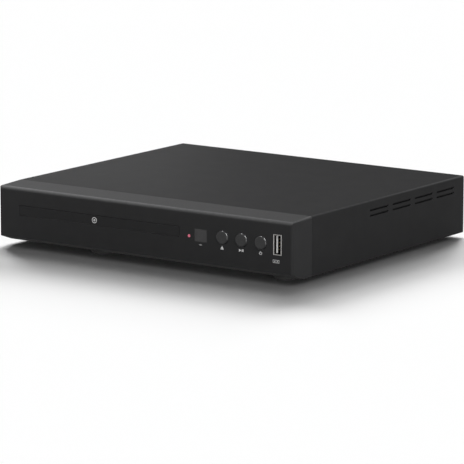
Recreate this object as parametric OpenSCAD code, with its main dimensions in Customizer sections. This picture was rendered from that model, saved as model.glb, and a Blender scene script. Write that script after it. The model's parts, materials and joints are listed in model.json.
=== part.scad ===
// Slim disc player with a sliding tray, a belt-driven loader and its electronics.
// The case rests on four feet. X runs to the right across the front, the front faces -Y, Z is up.

/* [Case] */
// Width of the case
body_w = 235; // [234:0.5:250]
// Depth of the case from its front face to its rear face
body_d = 206.5; // [206:0.5:225]
// Height of the case without its feet
case_h = 38.8; // [38.4:0.1:46]
// Thickness of the sheet steel
sheet_t = 0.8; // [0.6:0.1:1]
// Outer radius of the cover's long bends
cover_bend_r = 1.4; // [1.2:0.1:2]
// Height of the cover's lip over the rear wall
cover_lip_h = 9; // [8:0.5:12]
// Clearance between the cover and the sheet inside it
cover_gap = 0.2; // [0.1:0.05:0.3]
// Height of the chassis's side flanges
flange_h = 8; // [6:0.5:10]

/* [Side vents] */
// Slots in each row
vent_columns = 4; // [2:1:5]
// Rows of slots
vent_rows = 2; // [1:1:3]
// Length of a slot
vent_length = 22.5; // [15:0.5:25]
// Width of a slot
vent_width = 1.4; // [1.2:0.1:2.4]
// Distance between the centres of neighbouring slots in a row
vent_pitch = 27.4; // [26:0.2:30]
// Distance between the rows
vent_row_pitch = 3.5; // [3:0.1:5]
// Distance from the rear face to the centre of the rearmost slot
vent_end = 23.6; // [20:0.2:30]
// Distance from the cover's top to the centre of the upper row
vent_drop = 6.4; // [4:0.2:8]

/* [Feet] */
// Radius of a foot
foot_r = 7.5; // [6:0.5:9]
// Height of a foot
foot_h = 3; // [2:0.2:5]
// Place across the case of the front left foot
foot_left_x = -48; // [-60:1:-40]
// Place across the case of the front right foot
foot_right_x = 98; // [80:1:102]
// Distance of a rear foot from the middle of the case
foot_rear_x = 72; // [60:1:80]
// Distance of the front feet behind the front face
foot_front_s = 22; // [22:0.5:28]
// Distance of the rear feet ahead of the rear face
foot_rear_s = 22; // [18:1:30]

/* [Front panel] */
// Depth of the panel's returns along the top and sides
panel_d = 22; // [18:0.5:26]
// Wall of the panel
panel_t = 2.4; // [2:0.1:2.8]
// Fall of the panel's top from its rear edge to its crease
panel_fall = 0.9; // [0.5:0.1:1.5]
// Distance from the front face back to the crease
crease_s = 2.2; // [1.6:0.1:2.8]
// Height of the rounded brow between the crease and the flat front face
brow_h = 3; // [2.8:0.1:4]
// Radius of the panel's upright edges
panel_edge_r = 2; // [1:0.1:3]
// Height of the front face's lower edge
chin_h = 4.3; // [3:0.1:5]
// Depth of the chamfer below the front face
chin_d = 12; // [10:0.5:14]
// Thickness of the lips that reach under the cover
lip_t = 1.2; // [1:0.1:1.4]
// Reach of those lips
lip_d = 4; // [3:0.5:6]

/* [Tray door] */
// How far the door reaches beyond each side of the tray
door_over = 1; // [0.7:0.1:3]
// Height of the door
door_h = 6.4; // [6.4:0.1:7]
// Height of the door's lower edge above the case's bottom
door_z = 19.6; // [19.6:0.1:20]
// Clearance all round the door
door_gap = 0.3; // [0.2:0.05:0.5]

/* [Controls] */
// Radius of a button
button_r = 4.5; // [4:0.1:5.5]
// Height of the button row
button_z = 22.5; // [21:0.1:24]
// Place of the first button, as a share of the field between the loader and the case's side
button_share = 0.3411; // [0.33:0.001:0.355]
// Distance between buttons, as a share of that field
pitch_share = 0.1816; // [0.165:0.001:0.184]
// How far a button stands out of the front face
button_proud = 0.8; // [0.4:0.1:1.2]
// Travel of a button
button_travel = 0.8; // [0.4:0.1:1]
// Clearance round a button
button_gap = 0.25; // [0.15:0.05:0.4]
// Radius of the lamp
lamp_r = 1; // [0.8:0.1:1.5]
// Distance of the lamp from the loader
lamp_offset = 2; // [1.6:0.1:3]
// Height of the lamp
lamp_z = 21; // [20:0.5:24]
// Middle of the window, as a share of the field
window_share = 0.135; // [0.123:0.001:0.155]
// Width of the window
window_w = 9.5; // [8:0.1:10]
// Height of the window
window_h = 8.2; // [7:0.1:9]
// Height of the window's centre
window_z = 22; // [21:0.1:23]

/* [USB port] */
// Place of the port, as a share of the field
usb_share = 0.8601; // [0.85:0.001:0.87]
// Height of the port's centre
usb_z = 22.6; // [21:0.1:23.5]
// Width of the metal shell, which stands upright
usb_w = 6; // [5.7:0.1:6.2]
// Height of the metal shell
usb_h = 13; // [12.8:0.1:13.4]
// Thickness of the shell's sheet
usb_t = 0.4; // [0.3:0.05:0.5]

/* [Loader] */
// Width of the loader frame
loader_w = 142; // [141:0.5:144]
// Distance from the case's left side to the loader frame
loader_side = 11.5; // [9:0.5:13]
// Depth of the loader frame
loader_d = 158; // [157:0.5:159]
// Distance from the front face back to the loader frame
loader_s = 8; // [8:0.1:8.5]
// Wall of the loader frame
loader_t = 2.2; // [2:0.1:2.4]
// Distance between a side of the tray and the same side of the loader frame
tray_side = 7; // [6.8:0.1:7.2]
// Length of the tray behind its door
tray_len = 161; // [158:0.5:162]
// Thickness of the tray
tray_t = 5.6; // [5.4:0.1:5.8]
// Travel of the tray
tray_travel = 130; // [110:1:132]
// Radius of the large disc recess
disc_recess_r = 60.6; // [60.4:0.1:60.8]
// Depth of the large disc recess
disc_recess_h = 2.5; // [2:0.1:2.6]
// Radius of the small disc recess
small_recess_r = 40.6; // [40.4:0.1:40.8]
// Depth of the small recess below the large one
small_recess_h = 0.8; // [0.6:0.1:0.9]
// Width of the tray's slot for the turntable and pickup
slot_w = 50; // [48:1:54]
// Distance from the front face back to the disc's centre
disc_s = 70; // [69.5:0.5:70.5]
// Running clearance of the tray in its channels
tray_gap = 0.2; // [0.15:0.05:0.3]

/* [Loading gears] */
// Module of the tray's rack and its pinion
rack_module = 1; // [0.9:0.1:1]
// Teeth of the rack pinion
rack_teeth = 16; // [15:1:16]
// Module of the belt gear's pinion and the wheel it drives
wheel_module = 0.8; // [0.7:0.05:0.8]
// Teeth of the wheel below the rack pinion
wheel_teeth = 36; // [34:1:36]
// Teeth of the belt gear's pinion
belt_teeth = 12; // [12:1:13]
// Groove radius of the large pulley
pulley_r = 12; // [10:0.5:12.5]
// Groove radius of the motor pulley
motor_pulley_r = 3; // [2.5:0.1:3.5]
// Thickness of the square belt
belt_t = 1.2; // [1:0.1:1.4]
// Radius of the loading motor
motor_r = 8; // [7:0.5:8]
// Radial clearance of wheels on their posts
running_gap = 0.05; // [0.03:0.01:0.1]

/* [Traverse] */
// Angle that the traverse swings down
traverse_angle = 4.5; // [3.5:0.1:4.6]
// Travel of the cam slider
cam_travel = 24; // [20:0.5:24]
// Radius of the turntable
turntable_r = 15; // [13:0.5:16]
// Radius of the hub that centres a disc
hub_r = 7.4; // [7.3:0.05:7.45]
// Travel of the pickup
pickup_travel = 34; // [30:0.5:34]
// Radius of a guide rod
rod_r = 1.5; // [1.3:0.1:1.6]
// Module of the feed gears
feed_module = 0.6; // [0.55:0.05:0.6]

/* [Electronics] */
// Thickness of a circuit board
board_t = 1.6; // [1.2:0.1:1.8]
// Height of the boards' posts above the chassis floor
board_post_h = 6; // [5:0.2:7]
// Distance that the jacks stand out behind the rear face
jack_out = 8; // [6:0.5:9]
// Outer radius of a jack's sleeve
jack_r = 4.15; // [4.1:0.05:4.2]
// Distance between jacks
jack_pitch = 14; // [13:0.5:15]
// Height of the jacks' axes
jack_z = 17; // [16:0.5:18]

/* [Hidden] */

$fn = 48;
eps = 0.01;

// Case: depths s are measured back from the front face, heights from the case's bottom
front_y = (button_proud - body_d - jack_out) / 2;
half_w = body_w / 2;
door_x = loader_side + loader_w / 2 - half_w;
tray_w = loader_w - 2 * tray_side;
door_w = tray_w + 2 * door_over;
loader_end = loader_s + loader_d;
inner_w = body_w - 2 * (sheet_t + cover_gap);
chin_end = chin_d + 1;
floor_s = chin_end + cover_gap;
throat_w = body_w - 2 * panel_t - 2 * cover_gap;
rear_wall_s = body_d - 2 * sheet_t;
face_top = case_h - panel_fall - brow_h;
brow_r = (crease_s * crease_s + brow_h * brow_h) / (2 * crease_s);
brow_angle = atan2(brow_h, crease_s - brow_r);
brow_steps = 12;
flange_s = panel_d + lip_d + 1;

// Front electronics
front_board_s = 14.5;
field_x = door_x + loader_w / 2;
field_w = half_w - field_x;
lamp_x = field_x + lamp_offset;
window_x = field_x + window_share * field_w;
button_x = field_x + button_share * field_w;
button_pitch = pitch_share * field_w;
usb_x = field_x + usb_share * field_w;
front_board_x = field_x + 0.5;
front_board_w = half_w - panel_t - 1.6 - front_board_x;
front_board_z = 8.5;
front_board_h = case_h - panel_fall - panel_t - 3 - front_board_z;
front_board_t = board_t;
front_posts = [[5, 3.5], [front_board_w - 17, 3.5]];
front_flange = (window_x - lamp_x - window_w / 2 - lamp_r) / 3;
switch_size = 6;
switch_h = 3.5;
switch_hole_d = 3;
plunger_r = 1.6;
plunger_out = 1.4;
stem_r = 2.2;
button_flange_t = 1;
button_flange_r = button_r + 0.6;
play_gap = 0.05;
switch_face_s = front_board_s - switch_h;
stem_end_s = switch_face_s - plunger_out;
window_t = panel_t;

// Loader, measured from the door's middle
tray_z = door_z + 0.4;
tray_top = tray_z + tray_t;
recess_floor = tray_top - disc_recess_h;
deck_t = 1.2;
deck_z = recess_floor - deck_t;
small_boss_r = small_recess_r + 0.9;
small_boss_z = recess_floor - small_recess_h - 0.9;
rail_w = 3;
pocket_s = 5;
tray_s = panel_t;
loader_z = 4;
loader_floor = loader_z + loader_t;
channel_x = tray_w / 2 + tray_gap + 0.1;
ledge_x = channel_x - 2.8;
ledge_t = 2;
wall_top = tray_top + tray_gap + 2.1;
wall_x = loader_w / 2 - loader_t;
opening_x = [-36, 45];
opening_s = [44, 154];

// Loading gears
rack_root_x = -(tray_w / 2 - rail_w);
rack_line_x = rack_root_x + 1.2 * rack_module;
rack_pinion_r = rack_module * rack_teeth / 2;
rack_gear_pos = [rack_line_x + rack_pinion_r, 26];
gear_distance = wheel_module * (wheel_teeth + belt_teeth) / 2;
belt_gear_pos = [rack_gear_pos[0] + gear_distance, rack_gear_pos[1]];
motor_pos = [6, 26];
wheel_z = 9;
wheel_h = 3;
pulley_z = 13.5;
pulley_h = 3.5;
pulley_rim = 1;
groove_h = belt_t + 0.5;
belt_gap = 0.3;
pinion_z = 19.4;
pinion_h = deck_z - 0.4 - pinion_z;
rack_z = tray_z + 0.1;
rack_h = deck_z - rack_z;
post_r = 2;
small_post_r = 1.5;
motor_shelf_z = 11.8;
motor_shelf_t = 1.2;
motor_shaft_r = 0.75;
motor_boss_r = 2;
rack_span = [rack_gear_pos[1] - 12, rack_gear_pos[1] + tray_travel + 6];

// Traverse
pivot_s = 150;
pivot_z = 13;
traverse_x = [-33, 42];
traverse_s = [49, 152];
traverse_z = 12;
traverse_t = 2;
traverse_top = traverse_z + traverse_t;
traverse_rim_z = 10.5;
traverse_rim_t = 2;
pivot_r = 2;
bush_r = 4;
bracket_t = 4.5;
bracket_gap = 0.5;
cam_pin_r = 1.5;
cam_pin_x = 4;
cam_pin_z = 14;
cam_s = 45;
cam_t = 2;
cam_drop = (pivot_s - cam_s) * sin(traverse_angle);
cam_clear = 0.3;
spindle_r = 11;
spindle_h = 5;
spindle_shaft_r = 1;
platform_z = traverse_top + 10.2;
pad_t = 0.6;
rod_right_x = 20;
rod_left_x = -25;
rod_z = traverse_top + 2.5;
rod_span = [82, 150];
lug_t = 2.5;
lens_s = disc_s + 24;
pickup_z = traverse_top + 0.6;
pickup_h = 5;
pickup_span = [lens_s - 7.5, lens_s + 18];
feed_teeth = 12;
feed_wheel_teeth = 24;
feed_motor_teeth = 10;
feed_line_x = 28;
feed_root_x = feed_line_x - 1.2 * feed_module;
feed_pos = [feed_line_x + feed_module * feed_teeth / 2, 118];
feed_motor_pos = [feed_pos[0], feed_pos[1] + feed_module * (feed_wheel_teeth + feed_motor_teeth) / 2];
feed_rack_z = traverse_top + 3.4;
feed_rack_h = 2;
feed_motor_r = 6;
feed_post_r = 1.2;

// Disc clamp
bridge_s = [disc_s - 16, disc_s + 16];
bridge_t = 1.2;
bridge_hole_r = 11;
bridge_rim_h = 3;
clamp_r = 15;
clamp_z = platform_z + pad_t + 1.5;
clamp_ring_h = 1.2;
clamp_neck_r = 9.5;
clamp_top_z = wall_top + bridge_t + 0.3;
clamp_top_h = 1.5;
clamp_plate_r = 6;

// Screws
screw_r = 1.25;
screw_hole_gap = 0.05;
screw_head_r = 2.8;
screw_head_h = 1.8;
boss_r = 3.5;
loader_screws_at = [[-56, 50], [56, 22], [-56, 158], [56, 158]];
bridge_screw_x = loader_w / 2 - 4;
bridge_screws_at = [for (x = [-bridge_screw_x, bridge_screw_x], s = [disc_s - 8, disc_s + 8]) [x, s]];
bridge_screw_r = 1;
cover_screws_x = [27.5 - half_w, 0, half_w - 17.5];
cover_screw_drop = 5;

// Boards
board_z = sheet_t + board_post_h;
board_top = board_z + board_t;
post_inset = 5;
main_x = [field_x + 8, half_w - 4.5];
main_w = main_x[1] - main_x[0];
main_s = [62, rear_wall_s - 3];
main_posts = [
    for (x = [main_x[0] + post_inset, main_x[1] - post_inset], s = [main_s[0] + post_inset, loader_end - 1])
        [x, s]
];
processor_size = 20;
processor_pos = [(main_x[0] + main_x[1]) / 2, main_s[0] + 56];
sink_size = 26;
ribbon_t = 0.3;
ribbon_w = 12;
ribbon_x = front_board_x + front_board_w / 2;
ribbon_s = 130;
ribbon_socket = [ribbon_w + 4, 4.5, 5];
plug_d = 3.4;

// Rear openings and their sockets
hdmi_x = half_w - 13.5;
hdmi_w = 15;
hdmi_h = 5.6;
hdmi_t = 0.4;
hdmi_d = 12;
jack_count = 3;
jack_x = hdmi_x - 20 - (jack_count - 1) * jack_pitch;
jack_t = 0.5;
jack_root_r = jack_r - 0.25;
jack_root_d = 8;
jack_collar_r = jack_r + 0.35;
jack_block_d = 13;
inlet_x = 21.5 - half_w;
inlet_z = 15;
inlet_w = 22;
inlet_h = 13;
inlet_rim = 1.5;
inlet_pin_pitch = 8.6;
inlet_pin_r = 1.2;
inlet_cavity_r = 4.1;

// Power board: it fills the depth between the loader and the rear wall
power_x = [5.5 - half_w, main_x[0] - 24];
power_s = [loader_end + 5, rear_wall_s - 2];
power_d = power_s[1] - power_s[0];
function power_at(share) = power_s[0] + share * power_d;
power_posts = [
    [power_x[0] + post_inset, power_at(0.16)], [power_x[1] - post_inset, power_at(0.16)],
    [inlet_x + 31, power_at(0.87)], [power_x[1] - post_inset, power_at(0.87)]
];
inlet_d = 0.53 * power_d;
inlet_cavity_d = 0.71 * inlet_d;
transformer_x = inlet_x + 36.5;
transformer_size = [26, 0.68 * power_d, 19];
storage_cap = [5 + 0.078 * power_d, 20];
filter_cap = [4, 12];
output_cap = [3, 9];
cap_pitch = 11;
leads = 4;
leads_s = power_at(0.25);
leads_d = 0.35 * power_d;
lead_pitch = leads_d / (leads + 0.3);
lead_r = 0.27 * lead_pitch;
power_socket_x = power_x[1] - 14;
power_socket_w = 5;
main_socket_x = main_x[0] + 0.5;

// ---------- helpers ----------

// The case's own frame: x from the middle, s back from the front face, z up from the case's bottom
module in_case() {
    translate([0, front_y, foot_h]) children();
}

// The loader's frame, centred on the door
module in_loader() {
    translate([door_x, front_y, foot_h]) children();
}

// A block between two corners
module block(low, high) {
    translate(low) cube(high - low);
}

// A cylinder that runs back along the depth from s to s + length
module rod_back(x, s, z, r, length) {
    translate([x, s, z]) rotate([-90, 0, 0]) cylinder(r = r, h = length);
}

// A cylinder that runs across from x to x + length
module rod_across(x, s, z, r, length) {
    translate([x, s, z]) rotate([0, 90, 0]) cylinder(r = r, h = length);
}

// An upright cylinder
module post(pos, z, r, h) {
    translate([pos[0], pos[1], z]) cylinder(r = r, h = h);
}

// An upright tube
module sleeve(pos, z, r, bore, h) {
    difference() {
        post(pos, z, r, h);
        post(pos, z - eps, bore, h + 2 * eps);
    }
}

// A pan head screw whose head's underside is at z, with its shank below
module screw_down(pos, z, r, head_r, length) {
    post(pos, z, head_r, screw_head_h);
    post(pos, z - length, r, length + eps);
}

// Polar angle that an involute from the base circle rb has unrolled at radius r
function involute(rb, r) = r <= rb ? 0 : tan(acos(rb / r)) * 180 / PI - acos(rb / r);

// Half of a tooth's angle at radius r, with the flanks thinned for backlash
function half_tooth(m, teeth, r) =
    let (rp = m * teeth / 2, rb = rp * cos(20))
    90 / teeth * 0.88 + involute(rb, rp) - involute(rb, r);

function polar(r, a) = [r * cos(a), r * sin(a)];

// Outline of a spur gear with a tooth centred on +X
function gear_outline(m, teeth) =
    let (
        rp = m * teeth / 2,
        rs = [rp - 1.1 * m, rp * cos(20), rp, rp + 0.4 * m, rp + 0.7 * m],
        last = len(rs) - 1
    )
    [
        for (k = [0 : teeth - 1], i = [0 : 2 * last + 1])
            let (j = i <= last ? i : 2 * last + 1 - i, side = i <= last ? -1 : 1)
            polar(rs[j], k * 360 / teeth + side * half_tooth(m, teeth, rs[j]))
    ];

// Outline of a rack with its root line on x = 0, teeth towards +X and a gap centred on y = gap_y
function rack_outline(m, low, high, gap_y, back) =
    let (
        pitch = PI * m,
        first = ceil((low - gap_y) / pitch),
        last = floor((high - gap_y) / pitch) - 1,
        foot = pitch / 4 * 0.88 + 1.2 * m * tan(20),
        tip = pitch / 4 * 0.88 - 0.7 * m * tan(20)
    )
    concat(
        [[-back, low], [0, low]],
        [
            for (k = [first : last], p = [[0, -foot], [1.9 * m, -tip], [1.9 * m, tip], [0, foot]])
                [p[0], gap_y + (k + 0.5) * pitch + p[1]]
        ],
        [[0, high], [-back, high]]
    );

// ---------- case ----------

// Points of the front panel's side view, from the rear bottom corner round the top to the chin
function panel_profile() = concat(
    [[panel_d, 0], [panel_d, case_h]],
    [
        for (k = [0 : brow_steps])
            let (a = brow_angle + (180 - brow_angle) * k / brow_steps)
            [brow_r + brow_r * cos(a), face_top + brow_r * sin(a)]
    ],
    [[0, chin_h], [chin_d, 0]]
);

// A side view (s, z) extruded across the case, width w
module across(points, w) {
    translate([-w / 2, 0, 0])
        rotate([90, 0, 90])
            linear_extrude(height = w) polygon(points);
}

module panel_plan() {
    translate([-half_w, 0, -1]) {
        difference() {
            cube([body_w, panel_d + eps, case_h + 2]);
            for (side = [0, 1]) {
                translate([side * body_w, 0, 0])
                    mirror([side, 0, 0])
                        difference() {
                            translate([-1, -1, -1])
                                cube([panel_edge_r + 1, panel_edge_r + 1, case_h + 4]);
                            translate([panel_edge_r, panel_edge_r, -2])
                                cylinder(r = panel_edge_r, h = case_h + 6);
                        }
            }
        }
    }
}

// What the rounding of the panel's two upper side edges takes away, in line with the cover's bends
module panel_top_edges() {
    for (side = [0, 1]) {
        mirror([side, 0, 0])
            translate([half_w - cover_bend_r, crease_s, case_h - panel_fall - cover_bend_r])
                rotate([atan2(panel_fall, panel_d - crease_s), 0, 0])
                    difference() {
                        block([0, -crease_s - 1, 0], [cover_bend_r + 1, panel_d + 1, cover_bend_r + 1]);
                        rod_back(0, -crease_s - 2, 0, cover_bend_r, panel_d + crease_s + 4);
                    }
    }
}

// Space inside the front panel, in side view
function panel_cavity() =
    let (rise = panel_t * sqrt(1 + pow(chin_h / chin_d, 2)))
    [
        [panel_t, chin_h * (1 - panel_t / chin_d) + rise],
        [chin_d, rise],
        [chin_end, rise],
        [chin_end, -1],
        [panel_d + 1, -1],
        [panel_d + 1, case_h - panel_fall - panel_t],
        [panel_t + crease_s, case_h - panel_fall - panel_t],
        [panel_t, face_top - 0.5]
    ];

module front_panel() {
    lip_x = half_w - sheet_t - cover_gap;
    lip_z = case_h - sheet_t - cover_gap;
    lip_low = 3;
    color([0.09, 0.09, 0.1])
    in_case() {
        difference() {
            union() {
                difference() {
                    intersection() {
                        across(panel_profile(), body_w);
                        panel_plan();
                    }
                    across(panel_cavity(), body_w - 2 * panel_t);
                    panel_top_edges();
                }
                block([-lip_x + 2, panel_d - 3, lip_z - lip_t], [lip_x - 2, panel_d + lip_d, lip_z]);
                for (side = [0, 1]) {
                    mirror([side, 0, 0])
                        block([lip_x - lip_t, panel_d - 3, lip_low], [lip_x, panel_d + lip_d, lip_z - 2]);
                }
                for (p = front_posts) {
                    rod_back(front_board_x + p[0], panel_t - eps, front_board_z + p[1], 3,
                        front_board_s - panel_t + eps);
                }
            }
            block([door_x - door_w / 2 - door_gap, -1, door_z - door_gap],
                [door_x + door_w / 2 + door_gap, panel_t + 1, door_z + door_h + door_gap]);
            block([window_x - window_w / 2, -1, window_z - window_h / 2],
                [window_x + window_w / 2, panel_t + 1, window_z + window_h / 2]);
            block([usb_x - usb_w / 2 - 0.2, -1, usb_z - usb_h / 2 - 0.2],
                [usb_x + usb_w / 2 + 0.2, panel_t + 1, usb_z + usb_h / 2 + 0.2]);
            rod_back(lamp_x, -1, lamp_z, lamp_r, panel_t + 2);
            for (k = [0 : 2]) {
                rod_back(button_x + k * button_pitch, -1, button_z, button_r + button_gap, panel_t + 2);
            }
            for (p = front_posts) {
                rod_back(front_board_x + p[0], front_board_s - 6, front_board_z + p[1],
                    screw_r + screw_hole_gap, 7);
            }
        }
    }
}

module vent(s, z) {
    x = half_w - 2 * sheet_t;
    depth = 4 * sheet_t;
    run = vent_length - vent_width;
    block([x, s - run / 2, z - vent_width / 2], [x + depth, s + run / 2, z + vent_width / 2]);
    for (end = [-1, 1]) rod_across(x, s + end * run / 2, z, vent_width / 2, depth);
}

// The cover's cross-section as a solid, moved in by t
module cover_bar(t, s0, s1, r) {
    x = half_w - t;
    top = case_h - t;
    difference() {
        block([-x, s0, -1], [x, s1, top]);
        for (side = [0, 1]) {
            mirror([side, 0, 0])
                difference() {
                    block([x - r, s0 - 1, top - r], [x + 1, s1 + 1, top + 1]);
                    rod_back(x - r, s0 - 2, top - r, r, s1 - s0 + 4);
                }
        }
    }
}

module top_cover() {
    cover_s = panel_d + cover_gap;
    last_vent = body_d - vent_end;
    color([0.13, 0.13, 0.14])
    in_case() {
        difference() {
            intersection() {
                cover_bar(0, cover_s, body_d, cover_bend_r);
                block([-half_w, cover_s, 0], [half_w, body_d, case_h]);
            }
            cover_bar(sheet_t, cover_s - 1, body_d - sheet_t, cover_bend_r - sheet_t);
            block([-half_w + sheet_t, body_d - 2 * sheet_t, -1],
                [half_w - sheet_t, body_d + 1, case_h - cover_lip_h]);
            for (side = [0, 1], row = [0 : vent_rows - 1], k = [0 : vent_columns - 1]) {
                mirror([side, 0, 0])
                    vent(last_vent - k * vent_pitch, case_h - vent_drop - row * vent_row_pitch);
            }
            for (x = cover_screws_x) {
                rod_back(x, body_d - 2 * sheet_t, case_h - cover_screw_drop,
                    screw_r + 0.3, 3 * sheet_t);
            }
        }
    }
}

module pilot_boss(pos, top) {
    difference() {
        post(pos, sheet_t - eps, boss_r, top - sheet_t + eps);
        post(pos, sheet_t + 0.2, screw_r + screw_hole_gap, top);
    }
}

module rear_openings() {
    s = rear_wall_s - 1;
    depth = 3 * sheet_t + 1;
    for (k = [0 : jack_count - 1]) {
        rod_back(jack_x + k * jack_pitch, s, jack_z, jack_r + 0.4, depth);
    }
    block([hdmi_x - hdmi_w / 2 - 0.3, s, board_top - 0.3],
        [hdmi_x + hdmi_w / 2 + 0.3, s + depth, board_top + hdmi_h + 0.3]);
    block([inlet_x - inlet_w / 2 + inlet_rim, s, inlet_z - inlet_h / 2 + inlet_rim],
        [inlet_x + inlet_w / 2 - inlet_rim, s + depth, inlet_z + inlet_h / 2 - inlet_rim]);
    for (x = cover_screws_x) {
        rod_back(x, s, case_h - cover_screw_drop, screw_r + screw_hole_gap, depth);
    }
}

module chassis() {
    color([0.68, 0.69, 0.7])
    in_case() {
        difference() {
            union() {
                block([-inner_w / 2, panel_d + cover_gap, 0], [inner_w / 2, rear_wall_s + sheet_t, sheet_t]);
                block([-throat_w / 2, floor_s, 0], [throat_w / 2, panel_d + 1, sheet_t]);
                block([-throat_w / 2, floor_s, 0], [throat_w / 2, floor_s + sheet_t, loader_z - 0.4]);
                block([-inner_w / 2, rear_wall_s, 0],
                    [inner_w / 2, rear_wall_s + sheet_t, case_h - sheet_t - cover_gap]);
                for (side = [0, 1]) {
                    mirror([side, 0, 0])
                        block([inner_w / 2 - sheet_t, flange_s, 0],
                            [inner_w / 2, rear_wall_s + eps, flange_h]);
                }
            }
            rear_openings();
        }
        for (p = loader_screws_at) {
            pilot_boss([p[0] + door_x, p[1]], loader_z);
        }
        for (p = concat(main_posts, power_posts)) {
            pilot_boss(p, board_z);
        }
    }
}

module feet() {
    color([0.06, 0.06, 0.06])
    in_case() {
        for (p = [[foot_left_x, foot_front_s], [foot_right_x, foot_front_s],
                [-foot_rear_x, body_d - foot_rear_s], [foot_rear_x, body_d - foot_rear_s]]) {
            post(p, -foot_h, foot_r, foot_h);
        }
    }
}

module cover_screws() {
    color([0.2, 0.2, 0.21])
    in_case() {
        for (x = cover_screws_x) {
            rod_back(x, body_d, case_h - cover_screw_drop, screw_head_r, screw_head_h);
            rod_back(x, body_d - 6, case_h - cover_screw_drop, screw_r, 6 + eps);
        }
    }
}

// ---------- front ----------

module tray_door() {
    color([0.09, 0.09, 0.1])
    in_loader() {
        block([-door_w / 2, 0, door_z], [door_w / 2, panel_t, door_z + door_h]);
    }
}

module status_window() {
    color([0.2, 0.2, 0.21])
    in_case() {
        block([window_x - window_w / 2, 0, window_z - window_h / 2],
            [window_x + window_w / 2, window_t + eps, window_z + window_h / 2]);
        block([window_x - window_w / 2 - front_flange, window_t, window_z - window_h / 2 - front_flange],
            [window_x + window_w / 2 + front_flange, window_t + 1, window_z + window_h / 2 + front_flange]);
    }
}

module led_lens() {
    color([0.8, 0.1, 0.1])
    in_case() {
        rod_back(lamp_x, 0, lamp_z, lamp_r, front_board_s - 5.2);
        rod_back(lamp_x, panel_t, lamp_z, lamp_r + front_flange, 1);
    }
}

module button(k) {
    x = button_x + k * button_pitch;
    rim = 0.5;
    color([0.16, 0.16, 0.17])
    in_case() {
        rod_back(x, -button_proud + rim, button_z, button_r, panel_t + play_gap + button_proud - rim + eps);
        translate([x, -button_proud, button_z])
            rotate([-90, 0, 0])
                rotate_extrude()
                    polygon([[0, 0], [button_r - rim, 0], [button_r, rim],
                        [button_r, rim + eps], [0, rim + eps]]);
        rod_back(x, panel_t + play_gap, button_z, button_flange_r, button_flange_t);
        rod_back(x, panel_t + play_gap, button_z, stem_r, stem_end_s - panel_t - play_gap);
    }
}

module plunger(k) {
    color([0.85, 0.85, 0.8])
    in_case() {
        rod_back(button_x + k * button_pitch, stem_end_s, button_z, plunger_r,
            plunger_out + switch_hole_d - button_travel - 0.2);
    }
}

module eject_button() {
    button(0);
}

module play_button() {
    button(1);
}

module standby_button() {
    button(2);
}

module eject_plunger() {
    plunger(0);
}

module play_plunger() {
    plunger(1);
}

module standby_plunger() {
    plunger(2);
}

module switch_bodies() {
    color([0.15, 0.15, 0.16])
    in_case() {
        for (k = [0 : 2]) {
            x = button_x + k * button_pitch;
            difference() {
                block([x - switch_size / 2, switch_face_s, button_z - switch_size / 2],
                    [x + switch_size / 2, front_board_s, button_z + switch_size / 2]);
                rod_back(x, switch_face_s - 1, button_z, plunger_r + running_gap, switch_hole_d + 1);
            }
        }
    }
}

module usb_shell() {
    x0 = usb_x - usb_w / 2;
    z0 = usb_z - usb_h / 2;
    color([0.8, 0.8, 0.82])
    in_case() {
        difference() {
            block([x0, 0.2, z0], [x0 + usb_w, front_board_s, z0 + usb_h]);
            block([x0 + usb_t, -1, z0 + usb_t],
                [x0 + usb_w - usb_t, front_board_s - usb_t, z0 + usb_h - usb_t]);
        }
    }
}

module usb_tongue() {
    tongue_t = 1.6;
    tongue_gap = 1.1;
    base_d = 3;
    inside = front_board_s - usb_t;
    tongue_x = usb_x - usb_w / 2 + usb_t + tongue_gap;
    color([0.93, 0.93, 0.9])
    in_case() {
        block([usb_x - usb_w / 2 + usb_t, inside - base_d, usb_z - usb_h / 2 + usb_t],
            [usb_x + usb_w / 2 - usb_t, inside, usb_z + usb_h / 2 - usb_t]);
        block([tongue_x, 1.2, usb_z - usb_h / 2 + usb_t + 0.6],
            [tongue_x + tongue_t, inside - base_d + eps, usb_z + usb_h / 2 - usb_t - 0.6]);
    }
}

module front_board() {
    color([0.1, 0.35, 0.16])
    in_case() {
        difference() {
            block([front_board_x, front_board_s, front_board_z],
                [front_board_x + front_board_w, front_board_s + front_board_t,
                    front_board_z + front_board_h]);
            for (p = front_posts) {
                rod_back(front_board_x + p[0], front_board_s - 1, front_board_z + p[1],
                    screw_r + 0.2, front_board_t + 2);
            }
        }
    }
}

module ir_receiver() {
    color([0.12, 0.1, 0.12])
    in_case() {
        block([window_x - 2.8, front_board_s - 4.5, window_z - 3.2],
            [window_x + 2.8, front_board_s, window_z + 3.2]);
        intersection() {
            translate([window_x, front_board_s - 4.5, window_z]) sphere(r = 2.4);
            block([window_x - 3, front_board_s - 8, window_z - 3],
                [window_x + 3, front_board_s - 4, window_z + 3]);
        }
    }
}

module power_led() {
    color([0.85, 0.2, 0.2])
    in_case() {
        rod_back(lamp_x, front_board_s - 3.5, lamp_z, 1.5, 3.5);
        translate([lamp_x, front_board_s - 3.5, lamp_z]) sphere(r = 1.5);
    }
}

// A flat cable in side view, from one height to another with two bends, thickness ribbon_t
function step_strip(a0, z0, a1, z1, a2, a3) = [
    [a0, z0], [a1, z0], [a2, z1], [a3, z1],
    [a3, z1 + ribbon_t], [a2 - ribbon_t / 2, z1 + ribbon_t],
    [a1 - ribbon_t / 2, z0 + ribbon_t], [a0, z0 + ribbon_t]
];

module front_ribbon() {
    color([0.9, 0.9, 0.92])
    in_case() {
        translate([ribbon_x, 0, 0])
            across(step_strip(front_board_s + front_board_t + plug_d, 17, 30, board_top + 3,
                40, main_s[0] + 2.5), ribbon_w);
    }
}

// ---------- loader ----------

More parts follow.
